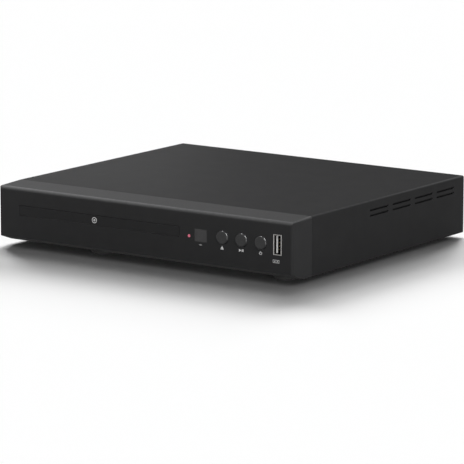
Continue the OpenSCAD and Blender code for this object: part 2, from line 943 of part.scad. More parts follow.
// Cross-section of a side of the loader frame: wall and C channel for the tray's edge
function channel_points() = [
    [wall_x, loader_z], [loader_w / 2, loader_z], [loader_w / 2, wall_top], [ledge_x, wall_top],
    [ledge_x, tray_top + tray_gap], [channel_x, tray_top + tray_gap], [channel_x, tray_z - tray_gap],
    [ledge_x, tray_z - tray_gap], [ledge_x, tray_z - tray_gap - ledge_t],
    [wall_x, tray_z - tray_gap - ledge_t]
];

module pivot_bracket(x) {
    difference() {
        block([x, pivot_s - 6, loader_floor - eps], [x + bracket_t, pivot_s + 6, pivot_z + bush_r + 1.5]);
        rod_across(x - 1, pivot_s, pivot_z, bush_r, bracket_t + 2);
    }
}

module motor_shelf() {
    half = motor_r + 2;
    inner = motor_r + 0.6;
    x = motor_pos[0];
    s = motor_pos[1];
    difference() {
        union() {
            block([x - half, s - half, motor_shelf_z], [x + half, s + half, motor_shelf_z + motor_shelf_t]);
            for (side = [-1, 1]) {
                block([x + (side < 0 ? -half : inner), s - half, loader_floor - eps],
                    [x + (side < 0 ? -inner : half), s + half, motor_shelf_z + eps]);
            }
        }
        post(motor_pos, motor_shelf_z - 1, motor_boss_r, motor_shelf_t + 2);
    }
}

module cam_guide() {
    guide_s = cam_s - 6.2;
    block([-30, guide_s - 1.2, loader_floor - eps], [58, guide_s, loader_floor + 3.2]);
    for (x = [-12, 42]) {
        block([x, guide_s - eps, loader_floor + 2], [x + 6, guide_s + 1.8, loader_floor + 3.2]);
    }
}

module loader_frame() {
    beam_top = tray_z - 0.6;
    color([0.2, 0.2, 0.22])
    in_loader() {
        difference() {
            union() {
                block([-wall_x - eps, loader_s, loader_z], [wall_x + eps, loader_end, loader_floor]);
                for (side = [0, 1]) {
                    mirror([side, 0, 0])
                        translate([0, loader_end, 0])
                            rotate([90, 0, 0])
                                linear_extrude(height = loader_d) polygon(channel_points());
                }
                block([-wall_x - eps, loader_s, loader_z], [wall_x + eps, loader_s + 1.8, beam_top]);
                block([-wall_x - eps, loader_end - 1.8, loader_z], [wall_x + eps, loader_end, beam_top]);
            }
            block([opening_x[0], opening_s[0], loader_z - 1], [opening_x[1], opening_s[1], loader_floor + 1]);
            post(motor_pos, loader_z - 1, motor_r + 0.4, loader_t + 2);
            for (p = loader_screws_at) {
                post(p, loader_z - 1, screw_r + 0.2, loader_t + 2);
            }
            for (p = bridge_screws_at) {
                post(p, wall_top - 1.8, bridge_screw_r + screw_hole_gap, 3);
            }
            block([wall_x - 1, ribbon_s - ribbon_w / 2 - 2, loader_floor],
                [loader_w / 2 + 1, ribbon_s + ribbon_w / 2 + 2, loader_floor + 4]);
        }
        post(rack_gear_pos, loader_floor - eps, 4, wheel_z - 0.2 - loader_floor);
        post(rack_gear_pos, loader_floor - eps, post_r, pinion_z + pinion_h - 0.2 - loader_floor);
        post(belt_gear_pos, loader_floor - eps, 3, wheel_z - 0.2 - loader_floor);
        post(belt_gear_pos, loader_floor - eps, small_post_r, pulley_z + pulley_h - loader_floor);
        motor_shelf();
        cam_guide();
        pivot_bracket(traverse_x[0] - bracket_gap - bracket_t - 3);
        pivot_bracket(traverse_x[1] + bracket_gap + 3);
    }
}

module disc_tray() {
    rear_s = tray_s + tray_len;
    color([0.24, 0.24, 0.26])
    in_loader() {
        difference() {
            union() {
                difference() {
                    block([-tray_w / 2, tray_s, tray_z], [tray_w / 2, rear_s, tray_top]);
                    block([-tray_w / 2 + rail_w, tray_s + pocket_s, tray_z - 1],
                        [tray_w / 2 - rail_w, rear_s + 1, deck_z]);
                }
                post([0, disc_s], small_boss_z, small_boss_r, recess_floor - small_boss_z);
            }
            post([0, disc_s], recess_floor, disc_recess_r, tray_t);
            post([0, disc_s], recess_floor - small_recess_h, small_recess_r, tray_t);
            block([-slot_w / 2, disc_s - 18, tray_z - 1], [slot_w / 2, rear_s + 1, tray_top + 1]);
        }
        translate([rack_root_x, 0, rack_z])
            linear_extrude(height = rack_h)
                polygon(rack_outline(rack_module, rack_span[0], rack_span[1], rack_gear_pos[1], 0.5));
    }
}

module clamp_bridge() {
    color([0.7, 0.71, 0.73])
    in_loader() {
        difference() {
            union() {
                block([-loader_w / 2, bridge_s[0], wall_top],
                    [loader_w / 2, bridge_s[1], wall_top + bridge_t]);
                for (s = [bridge_s[0], bridge_s[1] - bridge_t]) {
                    block([-loader_w / 2 + 8, s, wall_top],
                        [loader_w / 2 - 8, s + bridge_t, wall_top + bridge_rim_h]);
                }
            }
            post([0, disc_s], wall_top - 1, bridge_hole_r, bridge_t + 2);
            for (p = bridge_screws_at) {
                post(p, wall_top - 1, bridge_screw_r + 0.2, bridge_t + 2);
            }
        }
    }
}

module disc_clamp() {
    floor_z = clamp_z + 2;
    color([0.88, 0.88, 0.86])
    in_loader() {
        difference() {
            union() {
                post([0, disc_s], clamp_z, clamp_r, clamp_ring_h);
                post([0, disc_s], clamp_z, clamp_neck_r, clamp_top_z + clamp_top_h - clamp_z);
                post([0, disc_s], clamp_top_z, clamp_r - 1, clamp_top_h);
            }
            post([0, disc_s], clamp_z - 1, hub_r + 0.8, floor_z - clamp_z);
            post([0, disc_s], floor_z, clamp_plate_r, clamp_top_z + clamp_top_h - floor_z + 1);
        }
    }
}

module clamp_plate() {
    color([0.75, 0.75, 0.78])
    in_loader() {
        post([0, disc_s], clamp_z + 2, clamp_plate_r, 1.5);
    }
}

module loading_motor() {
    floor_gap = 1;
    color([0.78, 0.78, 0.8])
    in_loader() {
        post(motor_pos, sheet_t + floor_gap, motor_r, motor_shelf_z - sheet_t - floor_gap);
        post(motor_pos, motor_shelf_z - eps, motor_boss_r, motor_shelf_t);
        post(motor_pos, motor_shelf_z, motor_shaft_r, pulley_z + pulley_h - motor_shelf_z);
    }
}

// Turned half-section of a pulley with a square groove
function pulley_points(groove_r, bore) =
    let (rim = groove_r + pulley_rim, low = (pulley_h - groove_h) / 2, high = low + groove_h)
    [
        [bore, 0], [rim, 0], [rim, low], [groove_r, low],
        [groove_r, high], [rim, high], [rim, pulley_h], [bore, pulley_h]
    ];

module motor_pulley() {
    color([0.9, 0.9, 0.88])
    in_loader() {
        translate([motor_pos[0], motor_pos[1], pulley_z])
            rotate_extrude() polygon(pulley_points(motor_pulley_r, motor_shaft_r + running_gap));
    }
}

module belt_loop(grow) {
    hull() {
        translate(belt_gear_pos) circle(r = pulley_r + grow, $fn = 64);
        translate(motor_pos) circle(r = motor_pulley_r + grow, $fn = 64);
    }
}

module drive_belt() {
    color([0.07, 0.07, 0.07])
    in_loader() {
        translate([0, 0, pulley_z + (pulley_h - belt_t) / 2])
            linear_extrude(height = belt_t)
                difference() {
                    belt_loop(belt_gap + belt_t);
                    belt_loop(belt_gap);
                }
    }
}

module belt_gear() {
    bore = small_post_r + running_gap;
    color([0.92, 0.92, 0.9])
    in_loader() {
        translate([belt_gear_pos[0], belt_gear_pos[1], 0]) {
            translate([0, 0, wheel_z])
                linear_extrude(height = wheel_h)
                    difference() {
                        rotate(180 + 180 / belt_teeth) polygon(gear_outline(wheel_module, belt_teeth));
                        circle(r = bore);
                    }
            sleeve([0, 0], wheel_z + wheel_h - eps, small_post_r + 1.5, bore,
                pulley_z - wheel_z - wheel_h + 2 * eps);
            translate([0, 0, pulley_z]) rotate_extrude() polygon(pulley_points(pulley_r, bore));
        }
    }
}

module rack_gear() {
    bore = post_r + running_gap;
    color([0.92, 0.92, 0.9])
    in_loader() {
        translate([rack_gear_pos[0], rack_gear_pos[1], 0]) {
            translate([0, 0, wheel_z])
                linear_extrude(height = wheel_h)
                    difference() {
                        polygon(gear_outline(wheel_module, wheel_teeth));
                        circle(r = bore);
                    }
            sleeve([0, 0], wheel_z + wheel_h - eps, post_r + 2, bore, pinion_z - wheel_z - wheel_h + 2 * eps);
            translate([0, 0, pinion_z])
                linear_extrude(height = pinion_h)
                    difference() {
                        rotate(180) polygon(gear_outline(rack_module, rack_teeth));
                        circle(r = bore);
                    }
        }
    }
}

module cam_slider() {
    low_z = cam_pin_z - cam_drop;
    slot_r = cam_pin_r + cam_clear;
    slot_run = norm([cam_travel, cam_drop]);
    slot_angle = atan2(cam_drop, cam_travel);
    color([0.75, 0.75, 0.72])
    in_loader() {
        difference() {
            union() {
                block([cam_pin_x - cam_travel - 6, cam_s, low_z - slot_r - 1],
                    [cam_pin_x + 8, cam_s + cam_t, cam_pin_z + slot_r + 1.5]);
                block([cam_pin_x - cam_travel - 6, cam_s - 6, loader_floor + 0.1],
                    [cam_pin_x + 26, cam_s + cam_t, loader_floor + 1.6]);
            }
            translate([cam_pin_x, cam_s - 7, cam_pin_z])
                rotate([0, -slot_angle, 0])
                    block([-slot_run, 0, -slot_r], [0, cam_t + 8, slot_r]);
            rod_back(cam_pin_x, cam_s - 7, cam_pin_z, slot_r, cam_t + 8);
            rod_back(cam_pin_x - cam_travel, cam_s - 7, low_z, slot_r, cam_t + 8);
        }
    }
}

module traverse_frame() {
    x0 = traverse_x[0];
    x1 = traverse_x[1];
    s0 = traverse_s[0];
    s1 = traverse_s[1];
    rim_top = traverse_top + 2;
    color([0.72, 0.73, 0.75])
    in_loader() {
        difference() {
            union() {
                block([x0, s0, traverse_z], [x1, s1, traverse_top]);
                for (x = [x0, x1 - traverse_rim_t]) {
                    block([x, s0 + 3, traverse_rim_z], [x + traverse_rim_t, s1 - 4, rim_top]);
                }
                block([x0, s0, traverse_rim_z], [x1, s0 + traverse_rim_t, rim_top]);
            }
            block([-17.5, pickup_span[0] - 0.5, traverse_z - 1],
                [13.5, pickup_span[1] + pickup_travel, traverse_top + 1]);
            post([0, disc_s], traverse_z - 1, 4, traverse_t + 2);
            post(feed_motor_pos, traverse_z - 1, 1, traverse_t + 2);
        }
        for (x = [rod_left_x, rod_right_x], s = [rod_span[0], rod_span[1] - lug_t]) {
            difference() {
                block([x - 3, s, traverse_top - eps], [x + 3, s + lug_t, rod_z + rod_r + 1]);
                rod_back(x, s - 1, rod_z, rod_r, lug_t + 2);
            }
        }
        post(feed_pos, traverse_top - eps, 2.5, 0.7);
        post(feed_pos, traverse_top - eps, feed_post_r, 5.4);
        rod_back(cam_pin_x, cam_s + 0.3, cam_pin_z, cam_pin_r, s0 - cam_s);
        rod_across(x0 - bracket_gap - bracket_t - 3, pivot_s, pivot_z, pivot_r, bracket_t + bracket_gap + 4);
        rod_across(x1 - 1, pivot_s, pivot_z, pivot_r, bracket_t + bracket_gap + 4);
    }
}

module traverse_bushes() {
    color([0.1, 0.1, 0.1])
    in_loader() {
        for (x = [traverse_x[0] - bracket_gap - bracket_t - 3, traverse_x[1] + bracket_gap + 3]) {
            difference() {
                rod_across(x, pivot_s, pivot_z, bush_r, bracket_t);
                rod_across(x - 1, pivot_s, pivot_z, pivot_r + running_gap, bracket_t + 2);
            }
        }
    }
}

module spindle_motor() {
    color([0.8, 0.8, 0.82])
    in_loader() {
        post([0, disc_s], traverse_z - 0.8, 4, traverse_t + 0.8 + eps);
        post([0, disc_s], traverse_top, spindle_r, spindle_h);
        post([0, disc_s], traverse_top + spindle_h - eps, spindle_shaft_r, 3);
    }
}

module turntable() {
    low = traverse_top + spindle_h + 0.4;
    bore = spindle_shaft_r + running_gap;
    color([0.16, 0.16, 0.17])
    in_loader() {
        translate([0, disc_s, 0])
            rotate_extrude()
                polygon([
                    [bore, low], [4, low], [4, platform_z - 2], [turntable_r, platform_z - 2],
                    [turntable_r, platform_z], [hub_r, platform_z], [hub_r, platform_z + pad_t + 0.8],
                    [hub_r - 1.6, platform_z + pad_t + 2], [0, platform_z + pad_t + 2],
                    [0, traverse_top + spindle_h + 3.2], [bore, traverse_top + spindle_h + 3.2]
                ]);
    }
}

module turntable_pad() {
    color([0.3, 0.3, 0.32])
    in_loader() {
        sleeve([0, disc_s], platform_z, turntable_r - 0.4, hub_r + 3, pad_t);
    }
}

module optical_pickup() {
    s0 = pickup_span[0];
    s1 = pickup_span[1];
    ear_x = feed_root_x - 4.1;
    ear_top = feed_rack_z + 1;
    color([0.3, 0.31, 0.34])
    in_loader() {
        difference() {
            union() {
                block([-20, s0, pickup_z], [16, s1, pickup_z + pickup_h]);
                block([-16.5, s0 + 1.5, traverse_z - 1], [12.5, s1 - 2, pickup_z + eps]);
                block([16 - eps, s0 + 1.5, pickup_z], [ear_x, s1 - 2, ear_top]);
                block([rod_left_x - 2.5, s0 + 8, pickup_z], [-20 + eps, s1 - 7, ear_top]);
                post([0, lens_s], pickup_z, 4.6, pickup_h + 1.8);
            }
            rod_back(rod_right_x, s0, rod_z, rod_r + running_gap, s1 - s0);
            rod_back(rod_left_x, s0, rod_z, rod_r + running_gap, s1 - s0);
            post([0, lens_s], pickup_z + pickup_h, 3, 3);
        }
        translate([feed_root_x, 0, feed_rack_z])
            linear_extrude(height = feed_rack_h)
                polygon(rack_outline(feed_module, feed_pos[1] - pickup_travel - 3, feed_pos[1] + 3,
                    feed_pos[1], feed_root_x - ear_x));
    }
}

module objective_lens() {
    low = pickup_z + pickup_h;
    cap_r = 6;
    color([0.55, 0.7, 0.9])
    in_loader() {
        post([0, lens_s], low, 3, 1.6);
        intersection() {
            post([0, lens_s], low + 1, 3, 3);
            translate([0, lens_s, low + 2.4 - cap_r]) sphere(r = cap_r);
        }
    }
}

module guide_rods() {
    color([0.85, 0.86, 0.88])
    in_loader() {
        for (x = [rod_left_x, rod_right_x]) {
            rod_back(x, rod_span[0], rod_z, rod_r, rod_span[1] - rod_span[0]);
        }
    }
}

module feed_motor() {
    body_h = 7.8;
    color([0.78, 0.78, 0.8])
    in_loader() {
        post(feed_motor_pos, traverse_z - body_h, feed_motor_r, body_h);
        post(feed_motor_pos, traverse_z - eps, motor_shaft_r, traverse_t + 3);
    }
}

module feed_pinion() {
    color([0.85, 0.7, 0.35])
    in_loader() {
        translate([feed_motor_pos[0], feed_motor_pos[1], traverse_top + 0.5])
            linear_extrude(height = 2.2)
                difference() {
                    rotate(270 + 180 / feed_motor_teeth)
                        polygon(gear_outline(feed_module, feed_motor_teeth));
                    circle(r = motor_shaft_r + running_gap);
                }
    }
}

module feed_gear() {
    low = traverse_top + 0.9;
    wheel_top = low + 1.5;
    bore = feed_post_r + running_gap;
    color([0.9, 0.9, 0.86])
    in_loader() {
        translate([feed_pos[0], feed_pos[1], 0]) {
            translate([0, 0, low])
                linear_extrude(height = wheel_top - low)
                    difference() {
                        rotate(90) polygon(gear_outline(feed_module, feed_wheel_teeth));
                        circle(r = bore);
                    }
            sleeve([0, 0], wheel_top - eps, 2.4, bore, feed_rack_z - wheel_top + 2 * eps);
            translate([0, 0, feed_rack_z])
                linear_extrude(height = feed_rack_h)
                    difference() {
                        rotate(180) polygon(gear_outline(feed_module, feed_teeth));
                        circle(r = bore);
                    }
        }
    }
}

module loader_screws() {
    color([0.6, 0.6, 0.62])
    in_loader() {
        for (p = loader_screws_at) {
            screw_down(p, loader_floor, screw_r, screw_head_r, loader_floor - sheet_t - 0.4);
        }
        for (p = bridge_screws_at) {
            screw_down(p, wall_top + bridge_t, bridge_screw_r, 2, bridge_t + 1.6);
        }
    }
}

module loader_ribbon() {
    x0 = wall_x + door_x - 6;
    color([0.9, 0.9, 0.92])
    in_case() {
        translate([0, ribbon_s + ribbon_w / 2, 0])
            rotate([90, 0, 0])
                linear_extrude(height = ribbon_w)
                    polygon(step_strip(x0, loader_floor + 2.4, main_x[0] - 5, board_top + 3,
                        main_x[0] - 3, main_x[0] + 2.5));
    }
}

// ---------- electronics ----------

module board(xs, ss, holes) {
    color([0.1, 0.35, 0.16])
    in_case() {
        difference() {
            block([xs[0], ss[0], board_z], [xs[1], ss[1], board_top]);
            for (p = holes) post(p, board_z - 1, screw_r + 0.2, board_t + 2);
        }
    }
}

module main_board() {
    board(main_x, main_s, main_posts);
}

module power_board() {
    board(power_x, power_s, power_posts);
}

module board_screws() {
    color([0.6, 0.6, 0.62])
    in_case() {
        for (p = concat(main_posts, power_posts)) {
            screw_down(p, board_top, screw_r, screw_head_r, board_top - sheet_t - 0.4);
        }
        for (p = front_posts) {
            rod_back(front_board_x + p[0], front_board_s - 5, front_board_z + p[1], screw_r,
                5 + front_board_t);
            rod_back(front_board_x + p[0], front_board_s + front_board_t, front_board_z + p[1],
                screw_head_r, screw_head_h);
        }
    }
}

module chip(pos, size, h) {
    block([pos[0] - size[0] / 2, pos[1] - size[1] / 2, board_top],
        [pos[0] + size[0] / 2, pos[1] + size[1] / 2, board_top + h]);
}

module chips() {
    color([0.08, 0.08, 0.09])
    in_case() {
        chip(processor_pos, [processor_size, processor_size], 2);
        chip(processor_pos + [0, 26], [18, 9], 1.2);
        chip(processor_pos + [0.32 * main_w, 26], [10, 8], 1.2);
        chip(processor_pos + [0, -26], [14, 14], 1.4);
        chip(processor_pos + [0.29 * main_w, -30], [9, 6], 1.5);
    }
}

module heat_sink() {
    base_t = 2;
    fin_h = 7;
    fin_t = 1.2;
    fins = 6;
    low = board_top + 2;
    x = processor_pos[0] - sink_size / 2;
    s = processor_pos[1] - sink_size / 2;
    color([0.75, 0.76, 0.78])
    in_case() {
        block([x, s, low], [x + sink_size, s + sink_size, low + base_t]);
        for (k = [0 : fins - 1]) {
            fin_x = x + k * (sink_size - fin_t) / (fins - 1);
            block([fin_x, s, low + base_t - eps], [fin_x + fin_t, s + sink_size, low + base_t + fin_h]);
        }
    }
}

// A socket for a flat cable, across the board or along it, with its lower front corner at low
module flat_socket(low, size) {
    block(low, low + size);
}

module board_sockets() {
    half = ribbon_socket[0] / 2;
    across_size = ribbon_socket;
    along_size = [ribbon_socket[1], ribbon_socket[0], ribbon_socket[2]];
    color([0.93, 0.92, 0.86])
    in_case() {
        // front ribbon: on the front board's rear face and on the main board
        flat_socket([ribbon_x - half, front_board_s + front_board_t, 14], [2 * half, plug_d, 6]);
        flat_socket([ribbon_x - half, main_s[0] + 2.5, board_top], across_size);
        // loader ribbon: on the loader frame's floor and on the main board
        flat_socket([wall_x + door_x - 6 - along_size[0], ribbon_s - half, loader_floor], along_size);
        flat_socket([main_x[0] + 2.5, ribbon_s - half, board_top], along_size);
        // power leads: on the power board and on the main board
        flat_socket([power_socket_x, leads_s, board_top], [power_socket_w, leads_d, 6]);
        flat_socket([main_socket_x, leads_s, board_top], [main_x[0] + 4.5 - main_socket_x, leads_d, 6]);
    }
}

module transformer() {
    x = transformer_x;
    s = power_at(0.16);
    w = transformer_size[0];
    d = transformer_size[1];
    flange_t = 4;
    coil_top = board_top + transformer_size[2] - 3;
    color([0.75, 0.6, 0.2])
    in_case() {
        block([x, s, board_top], [x + w, s + d, board_top + flange_t]);
        block([x + 3, s + 0.1 * d, board_top + flange_t - eps], [x + w - 3, s + 0.9 * d, coil_top]);
        block([x, s, coil_top - eps], [x + w, s + d, board_top + transformer_size[2]]);
    }
}

module capacitors() {
    color([0.1, 0.12, 0.3])
    in_case() {
        post([inlet_x + 20, power_at(0.41)], board_top, storage_cap[0], storage_cap[1]);
        for (k = [0, 1]) {
            x = power_socket_x - filter_cap[0] - 1 - k * cap_pitch;
            post([x, power_at(0.28)], board_top, filter_cap[0], filter_cap[1]);
            post([x - cap_pitch / 2, power_at(0.72)], board_top, output_cap[0], output_cap[1]);
        }
        for (k = [0 : 3]) {
            post([main_x[1] - post_inset, main_s[0] + 38 + k * 9], board_top, 2.5, 6);
        }
    }
}

module power_leads() {
    x = power_socket_x + power_socket_w;
    color([0.75, 0.1, 0.1])
    in_case() {
        for (k = [0 : leads - 1]) {
            rod_across(x, leads_s + (k + 0.65) * lead_pitch, board_top + 3, lead_r, main_socket_x - x);
        }
    }
}

module inlet_shape(length) {
    for (side = [-1, 1]) {
        rod_back(inlet_x + side * inlet_pin_pitch / 2, body_d - length, inlet_z, inlet_cavity_r,
            length + 1);
    }
    block([inlet_x - inlet_pin_pitch / 2, body_d - length, inlet_z - inlet_cavity_r + 0.6],
        [inlet_x + inlet_pin_pitch / 2, body_d + 1, inlet_z + inlet_cavity_r - 0.6]);
}

module mains_inlet() {
    neck = inlet_rim + 0.2;
    color([0.08, 0.08, 0.08])
    in_case() {
        difference() {
            union() {
                block([inlet_x - inlet_w / 2, rear_wall_s - inlet_d, inlet_z - inlet_h / 2],
                    [inlet_x + inlet_w / 2, rear_wall_s, inlet_z + inlet_h / 2]);
                block([inlet_x - inlet_w / 2 + neck, rear_wall_s - eps, inlet_z - inlet_h / 2 + neck],
                    [inlet_x + inlet_w / 2 - neck, body_d, inlet_z + inlet_h / 2 - neck]);
                block([inlet_x - inlet_w / 2 + 2, rear_wall_s - inlet_d, board_top],
                    [inlet_x + inlet_w / 2 - 2, rear_wall_s - 0.3 * inlet_d, inlet_z]);
            }
            inlet_shape(inlet_cavity_d);
        }
    }
}

module inlet_pins() {
    color([0.85, 0.8, 0.6])
    in_case() {
        for (side = [-1, 1]) {
            rod_back(inlet_x + side * inlet_pin_pitch / 2, body_d - inlet_cavity_d, inlet_z, inlet_pin_r,
                inlet_cavity_d - 2);
        }
    }
}

module av_block() {
    left = jack_x - jack_pitch / 2;
    right = jack_x + (jack_count - 0.5) * jack_pitch;
    color([0.1, 0.1, 0.1])
    in_case() {
        difference() {
            union() {
                block([left, rear_wall_s - jack_block_d, board_top], [right, rear_wall_s, jack_z + 6.5]);
                for (k = [0 : jack_count - 1]) {
                    rod_back(jack_x + k * jack_pitch, rear_wall_s - eps, jack_z, jack_collar_r,
                        1.5 * sheet_t + eps);
                }
            }
            for (k = [0 : jack_count - 1]) {
                rod_back(jack_x + k * jack_pitch, rear_wall_s - jack_root_d, jack_z, jack_root_r,
                    jack_root_d + 2 * sheet_t + 1);
            }
        }
    }
}

module jack_sleeves() {
    root_s = rear_wall_s - jack_root_d;
    length = body_d + jack_out - root_s;
    color([0.86, 0.84, 0.78])
    in_case() {
        for (k = [0 : jack_count - 1]) {
            x = jack_x + k * jack_pitch;
            difference() {
                union() {
                    rod_back(x, root_s, jack_z, jack_root_r, length - eps);
                    rod_back(x, body_d, jack_z, jack_r, jack_out);
                }
                rod_back(x, root_s - 1, jack_z, jack_r - jack_t, length + 2);
            }
        }
    }
}

module jack_cores() {
    root_s = rear_wall_s - jack_root_d;
    length = body_d + jack_out - root_s - 1;
    color([0.9, 0.75, 0.1])
    in_case() {
        for (k = [0 : jack_count - 1]) {
            x = jack_x + k * jack_pitch;
            difference() {
                rod_back(x, root_s, jack_z, jack_r - jack_t, length);
                rod_back(x, root_s + 3, jack_z, 1.7, length);
            }
        }
    }
}

module hdmi_shell() {
    x0 = hdmi_x - hdmi_w / 2;
    s0 = body_d - hdmi_d;
    color([0.8, 0.8, 0.82])
    in_case() {
        difference() {
            block([x0, s0, board_top], [x0 + hdmi_w, body_d, board_top + hdmi_h]);
            block([x0 + hdmi_t, s0 + 3, board_top + hdmi_t],
                [x0 + hdmi_w - hdmi_t, body_d + 1, board_top + hdmi_h - hdmi_t]);
        }
        block([x0 + 2, s0 + 3 - eps, board_top + hdmi_h / 2],
            [x0 + hdmi_w - 2, body_d - 1.5, board_top + hdmi_h / 2 + 1]);
    }
}

top_cover();
chassis();
front_panel();
feet();
cover_screws();
tray_door();
status_window();
led_lens();
eject_button();
play_button();
standby_button();
eject_plunger();
play_plunger();
standby_plunger();
usb_shell();
usb_tongue();
front_board();
ir_receiver();
power_led();
switch_bodies();
front_ribbon();
loader_frame();
disc_tray();
clamp_bridge();
disc_clamp();
clamp_plate();
loading_motor();
motor_pulley();
drive_belt();
belt_gear();
rack_gear();
cam_slider();
traverse_frame();
traverse_bushes();
spindle_motor();
turntable();
turntable_pad();
optical_pickup();
objective_lens();
guide_rods();
feed_motor();
feed_pinion();
feed_gear();
loader_screws();
loader_ribbon();
main_board();
chips();
heat_sink();
board_sockets();
board_screws();
power_board();
transformer();
capacitors();
power_leads();
mains_inlet();
inlet_pins();
av_block();
jack_sleeves();
jack_cores();
hdmi_shell();
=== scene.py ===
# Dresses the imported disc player: camera and studio, a material for every slot, and the small
# detailed pieces. Metres throughout. X runs to the right, the front faces -Y and Z is up.

import json
import math

import bmesh
import bpy
from mathutils import Matrix, Vector

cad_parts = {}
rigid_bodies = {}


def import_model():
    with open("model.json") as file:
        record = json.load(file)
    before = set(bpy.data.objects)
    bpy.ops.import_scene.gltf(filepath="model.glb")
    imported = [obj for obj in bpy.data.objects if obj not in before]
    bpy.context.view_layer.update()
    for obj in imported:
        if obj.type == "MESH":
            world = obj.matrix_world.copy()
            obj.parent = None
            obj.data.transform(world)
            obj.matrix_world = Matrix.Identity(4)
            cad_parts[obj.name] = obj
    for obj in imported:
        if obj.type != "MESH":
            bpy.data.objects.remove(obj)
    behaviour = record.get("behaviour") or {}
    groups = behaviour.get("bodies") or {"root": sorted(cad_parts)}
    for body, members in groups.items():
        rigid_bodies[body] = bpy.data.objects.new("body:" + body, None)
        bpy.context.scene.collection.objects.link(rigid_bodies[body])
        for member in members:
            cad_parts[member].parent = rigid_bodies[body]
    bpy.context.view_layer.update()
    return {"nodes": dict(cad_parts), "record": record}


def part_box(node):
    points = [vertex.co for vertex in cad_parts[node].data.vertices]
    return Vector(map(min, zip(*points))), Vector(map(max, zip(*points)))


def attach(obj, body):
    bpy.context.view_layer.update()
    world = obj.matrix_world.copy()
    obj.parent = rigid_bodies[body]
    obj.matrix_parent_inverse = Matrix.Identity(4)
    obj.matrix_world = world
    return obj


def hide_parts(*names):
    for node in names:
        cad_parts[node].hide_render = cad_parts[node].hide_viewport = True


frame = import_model()

MM = 0.001
# Millimetres within which the CAD meshes' points are one point; half of it for the added pieces
JOIN = 0.002
# Angles in degrees over which an edge is rounded, and over which it is shaded sharp
SOFT_ANGLE = 35
SHARP_ANGLE = 32

# ---------- places, from the frame ----------


def middle(node):
    """The middle of a CAD node's box."""
    low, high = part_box(node)
    return (low + high) / 2


FACE_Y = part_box("tray_door")[0].y
REAR_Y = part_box("top_cover")[1].y
CASE_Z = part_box("chassis")[0].z
BUTTONS = ("eject", "play", "standby")
SIGN_Z = CASE_Z + 16 * MM
PORT_SIGN_Z = CASE_Z + 12 * MM
PORT_SIGN_LEFT = 0.9 * MM
# The door's rings: their middle as a share of its width, their radii in millimetres
DOOR_SIGN_SHARE = 0.477
DOOR_RINGS = ((1.55, 1.95), (0.35, 0.75))
# Millimetres
PRINT_T = 0.04

# ---------- camera ----------

LENS = 251.55
SENSOR = 36.0
AZIMUTH = math.radians(35.0415)
ELEVATION = math.radians(10.8035)
ROLL = math.radians(0.062)
CAMERA_DISTANCE = 2.17606
AIM_RIGHT = -0.797 * MM
AIM_UP = 3.065 * MM


def make_camera():
    """The photograph's view: a long lens from the front right, a little above."""
    back = Vector((
        math.sin(AZIMUTH) * math.cos(ELEVATION),
        -math.cos(AZIMUTH) * math.cos(ELEVATION),
        math.sin(ELEVATION),
    ))
    right = (-back).cross(Vector((0, 0, 1))).normalized()
    up = right.cross(-back)
    rolled_right = right * math.cos(ROLL) + up * math.sin(ROLL)
    rolled_up = up * math.cos(ROLL) - right * math.sin(ROLL)
    aim = Vector((0, (FACE_Y + REAR_Y) / 2, CASE_Z)) + right * AIM_RIGHT + up * AIM_UP
    data = bpy.data.cameras.new("view")
    data.lens = LENS
    data.sensor_width = SENSOR
    data.clip_start = 0.05
    data.clip_end = 50
    camera = bpy.data.objects.new("view", data)
    bpy.context.scene.collection.objects.link(camera)
    turn = Matrix((rolled_right, rolled_up, back)).transposed().to_4x4()
    camera.matrix_world = Matrix.Translation(aim + back * CAMERA_DISTANCE) @ turn
    bpy.context.scene.camera = camera


# ---------- studio ----------

# Azimuth from +Y towards +X and elevation in degrees, and the share of the floor's light from there
KEYS = ((-50, 25, 0.31), (-30, 25, 0.28), (-20, 20, 0.21), (-30, 50, 0.15), (-20, 65, 0.05))
KEY_ANGLE = math.radians(16)
KEY_FLOOR = 0.93
# Place, width, height and brightness
FRONT_LAMP = ((-0.3, -1.5, 0.1), 0.9, 0.9, 2.15)
REAR_LAMP = ((-0.61, 0.4, 0.19), 0.5, 0.3, 5.5)
SIDE_LAMP = ((1.15, -0.8, 0.0), 0.9, 0.9, 4.8)
CHEEK_LAMP = ((1.2, 0.15, 0.0), 0.5, 0.5, 6.2)
FLANK_LAMP = ((1.2, 0.8, 0.15), 0.6, 0.6, 1.1)
RIM_LAMP = ((0.9, -0.6, 1.0), 0.12, 0.12, 130.0)
BAND_LAMP = ((-0.61, 0.4, 0.19), 0.5, 0.3, 0.6)
BROW_LAMP = ((-0.40, -0.1, 0.48), 0.3, 0.14, 39.0)
EDGE_LAMP = ((0.28, 1.2, 0.85), 0.3, 0.3, 9.0)
CAP_LAMP = ((0.95, 0.0, 1.0), 0.6, 0.8, 45.0)
CAP_TOP_LAMP = ((-0.45, 0.1, 1.2), 0.35, 0.35, 32.0)
# The world's light on matt surfaces, its brightness in reflections from far below, and the
# heights of the direction between which that brightness rises to 1
FILL = 0.12
BELOW = 0.3
BELOW_RANGE = (-0.32, -0.24)
FLOOR_ALBEDO = 0.95
FLOOR_SIZE = 30.0


def make_key():
    """Suns behind the object on its left, whose soft shadow falls forward as in the photograph."""
    for azimuth, elevation, share in KEYS:
        azimuth = math.radians(azimuth)
        elevation = math.radians(elevation)
        data = bpy.data.lights.new("key", "SUN")
        data.energy = KEY_FLOOR * share * math.pi / math.sin(elevation)
        data.angle = KEY_ANGLE
        key = bpy.data.objects.new("key", data)
        bpy.context.scene.collection.objects.link(key)
        towards = Vector((
            math.sin(azimuth) * math.cos(elevation),
            math.cos(azimuth) * math.cos(elevation),
            math.sin(elevation),
        ))
        key.visible_glossy = False
        key.rotation_mode = "QUATERNION"
        key.rotation_quaternion = towards.to_track_quat("Z", "Y")


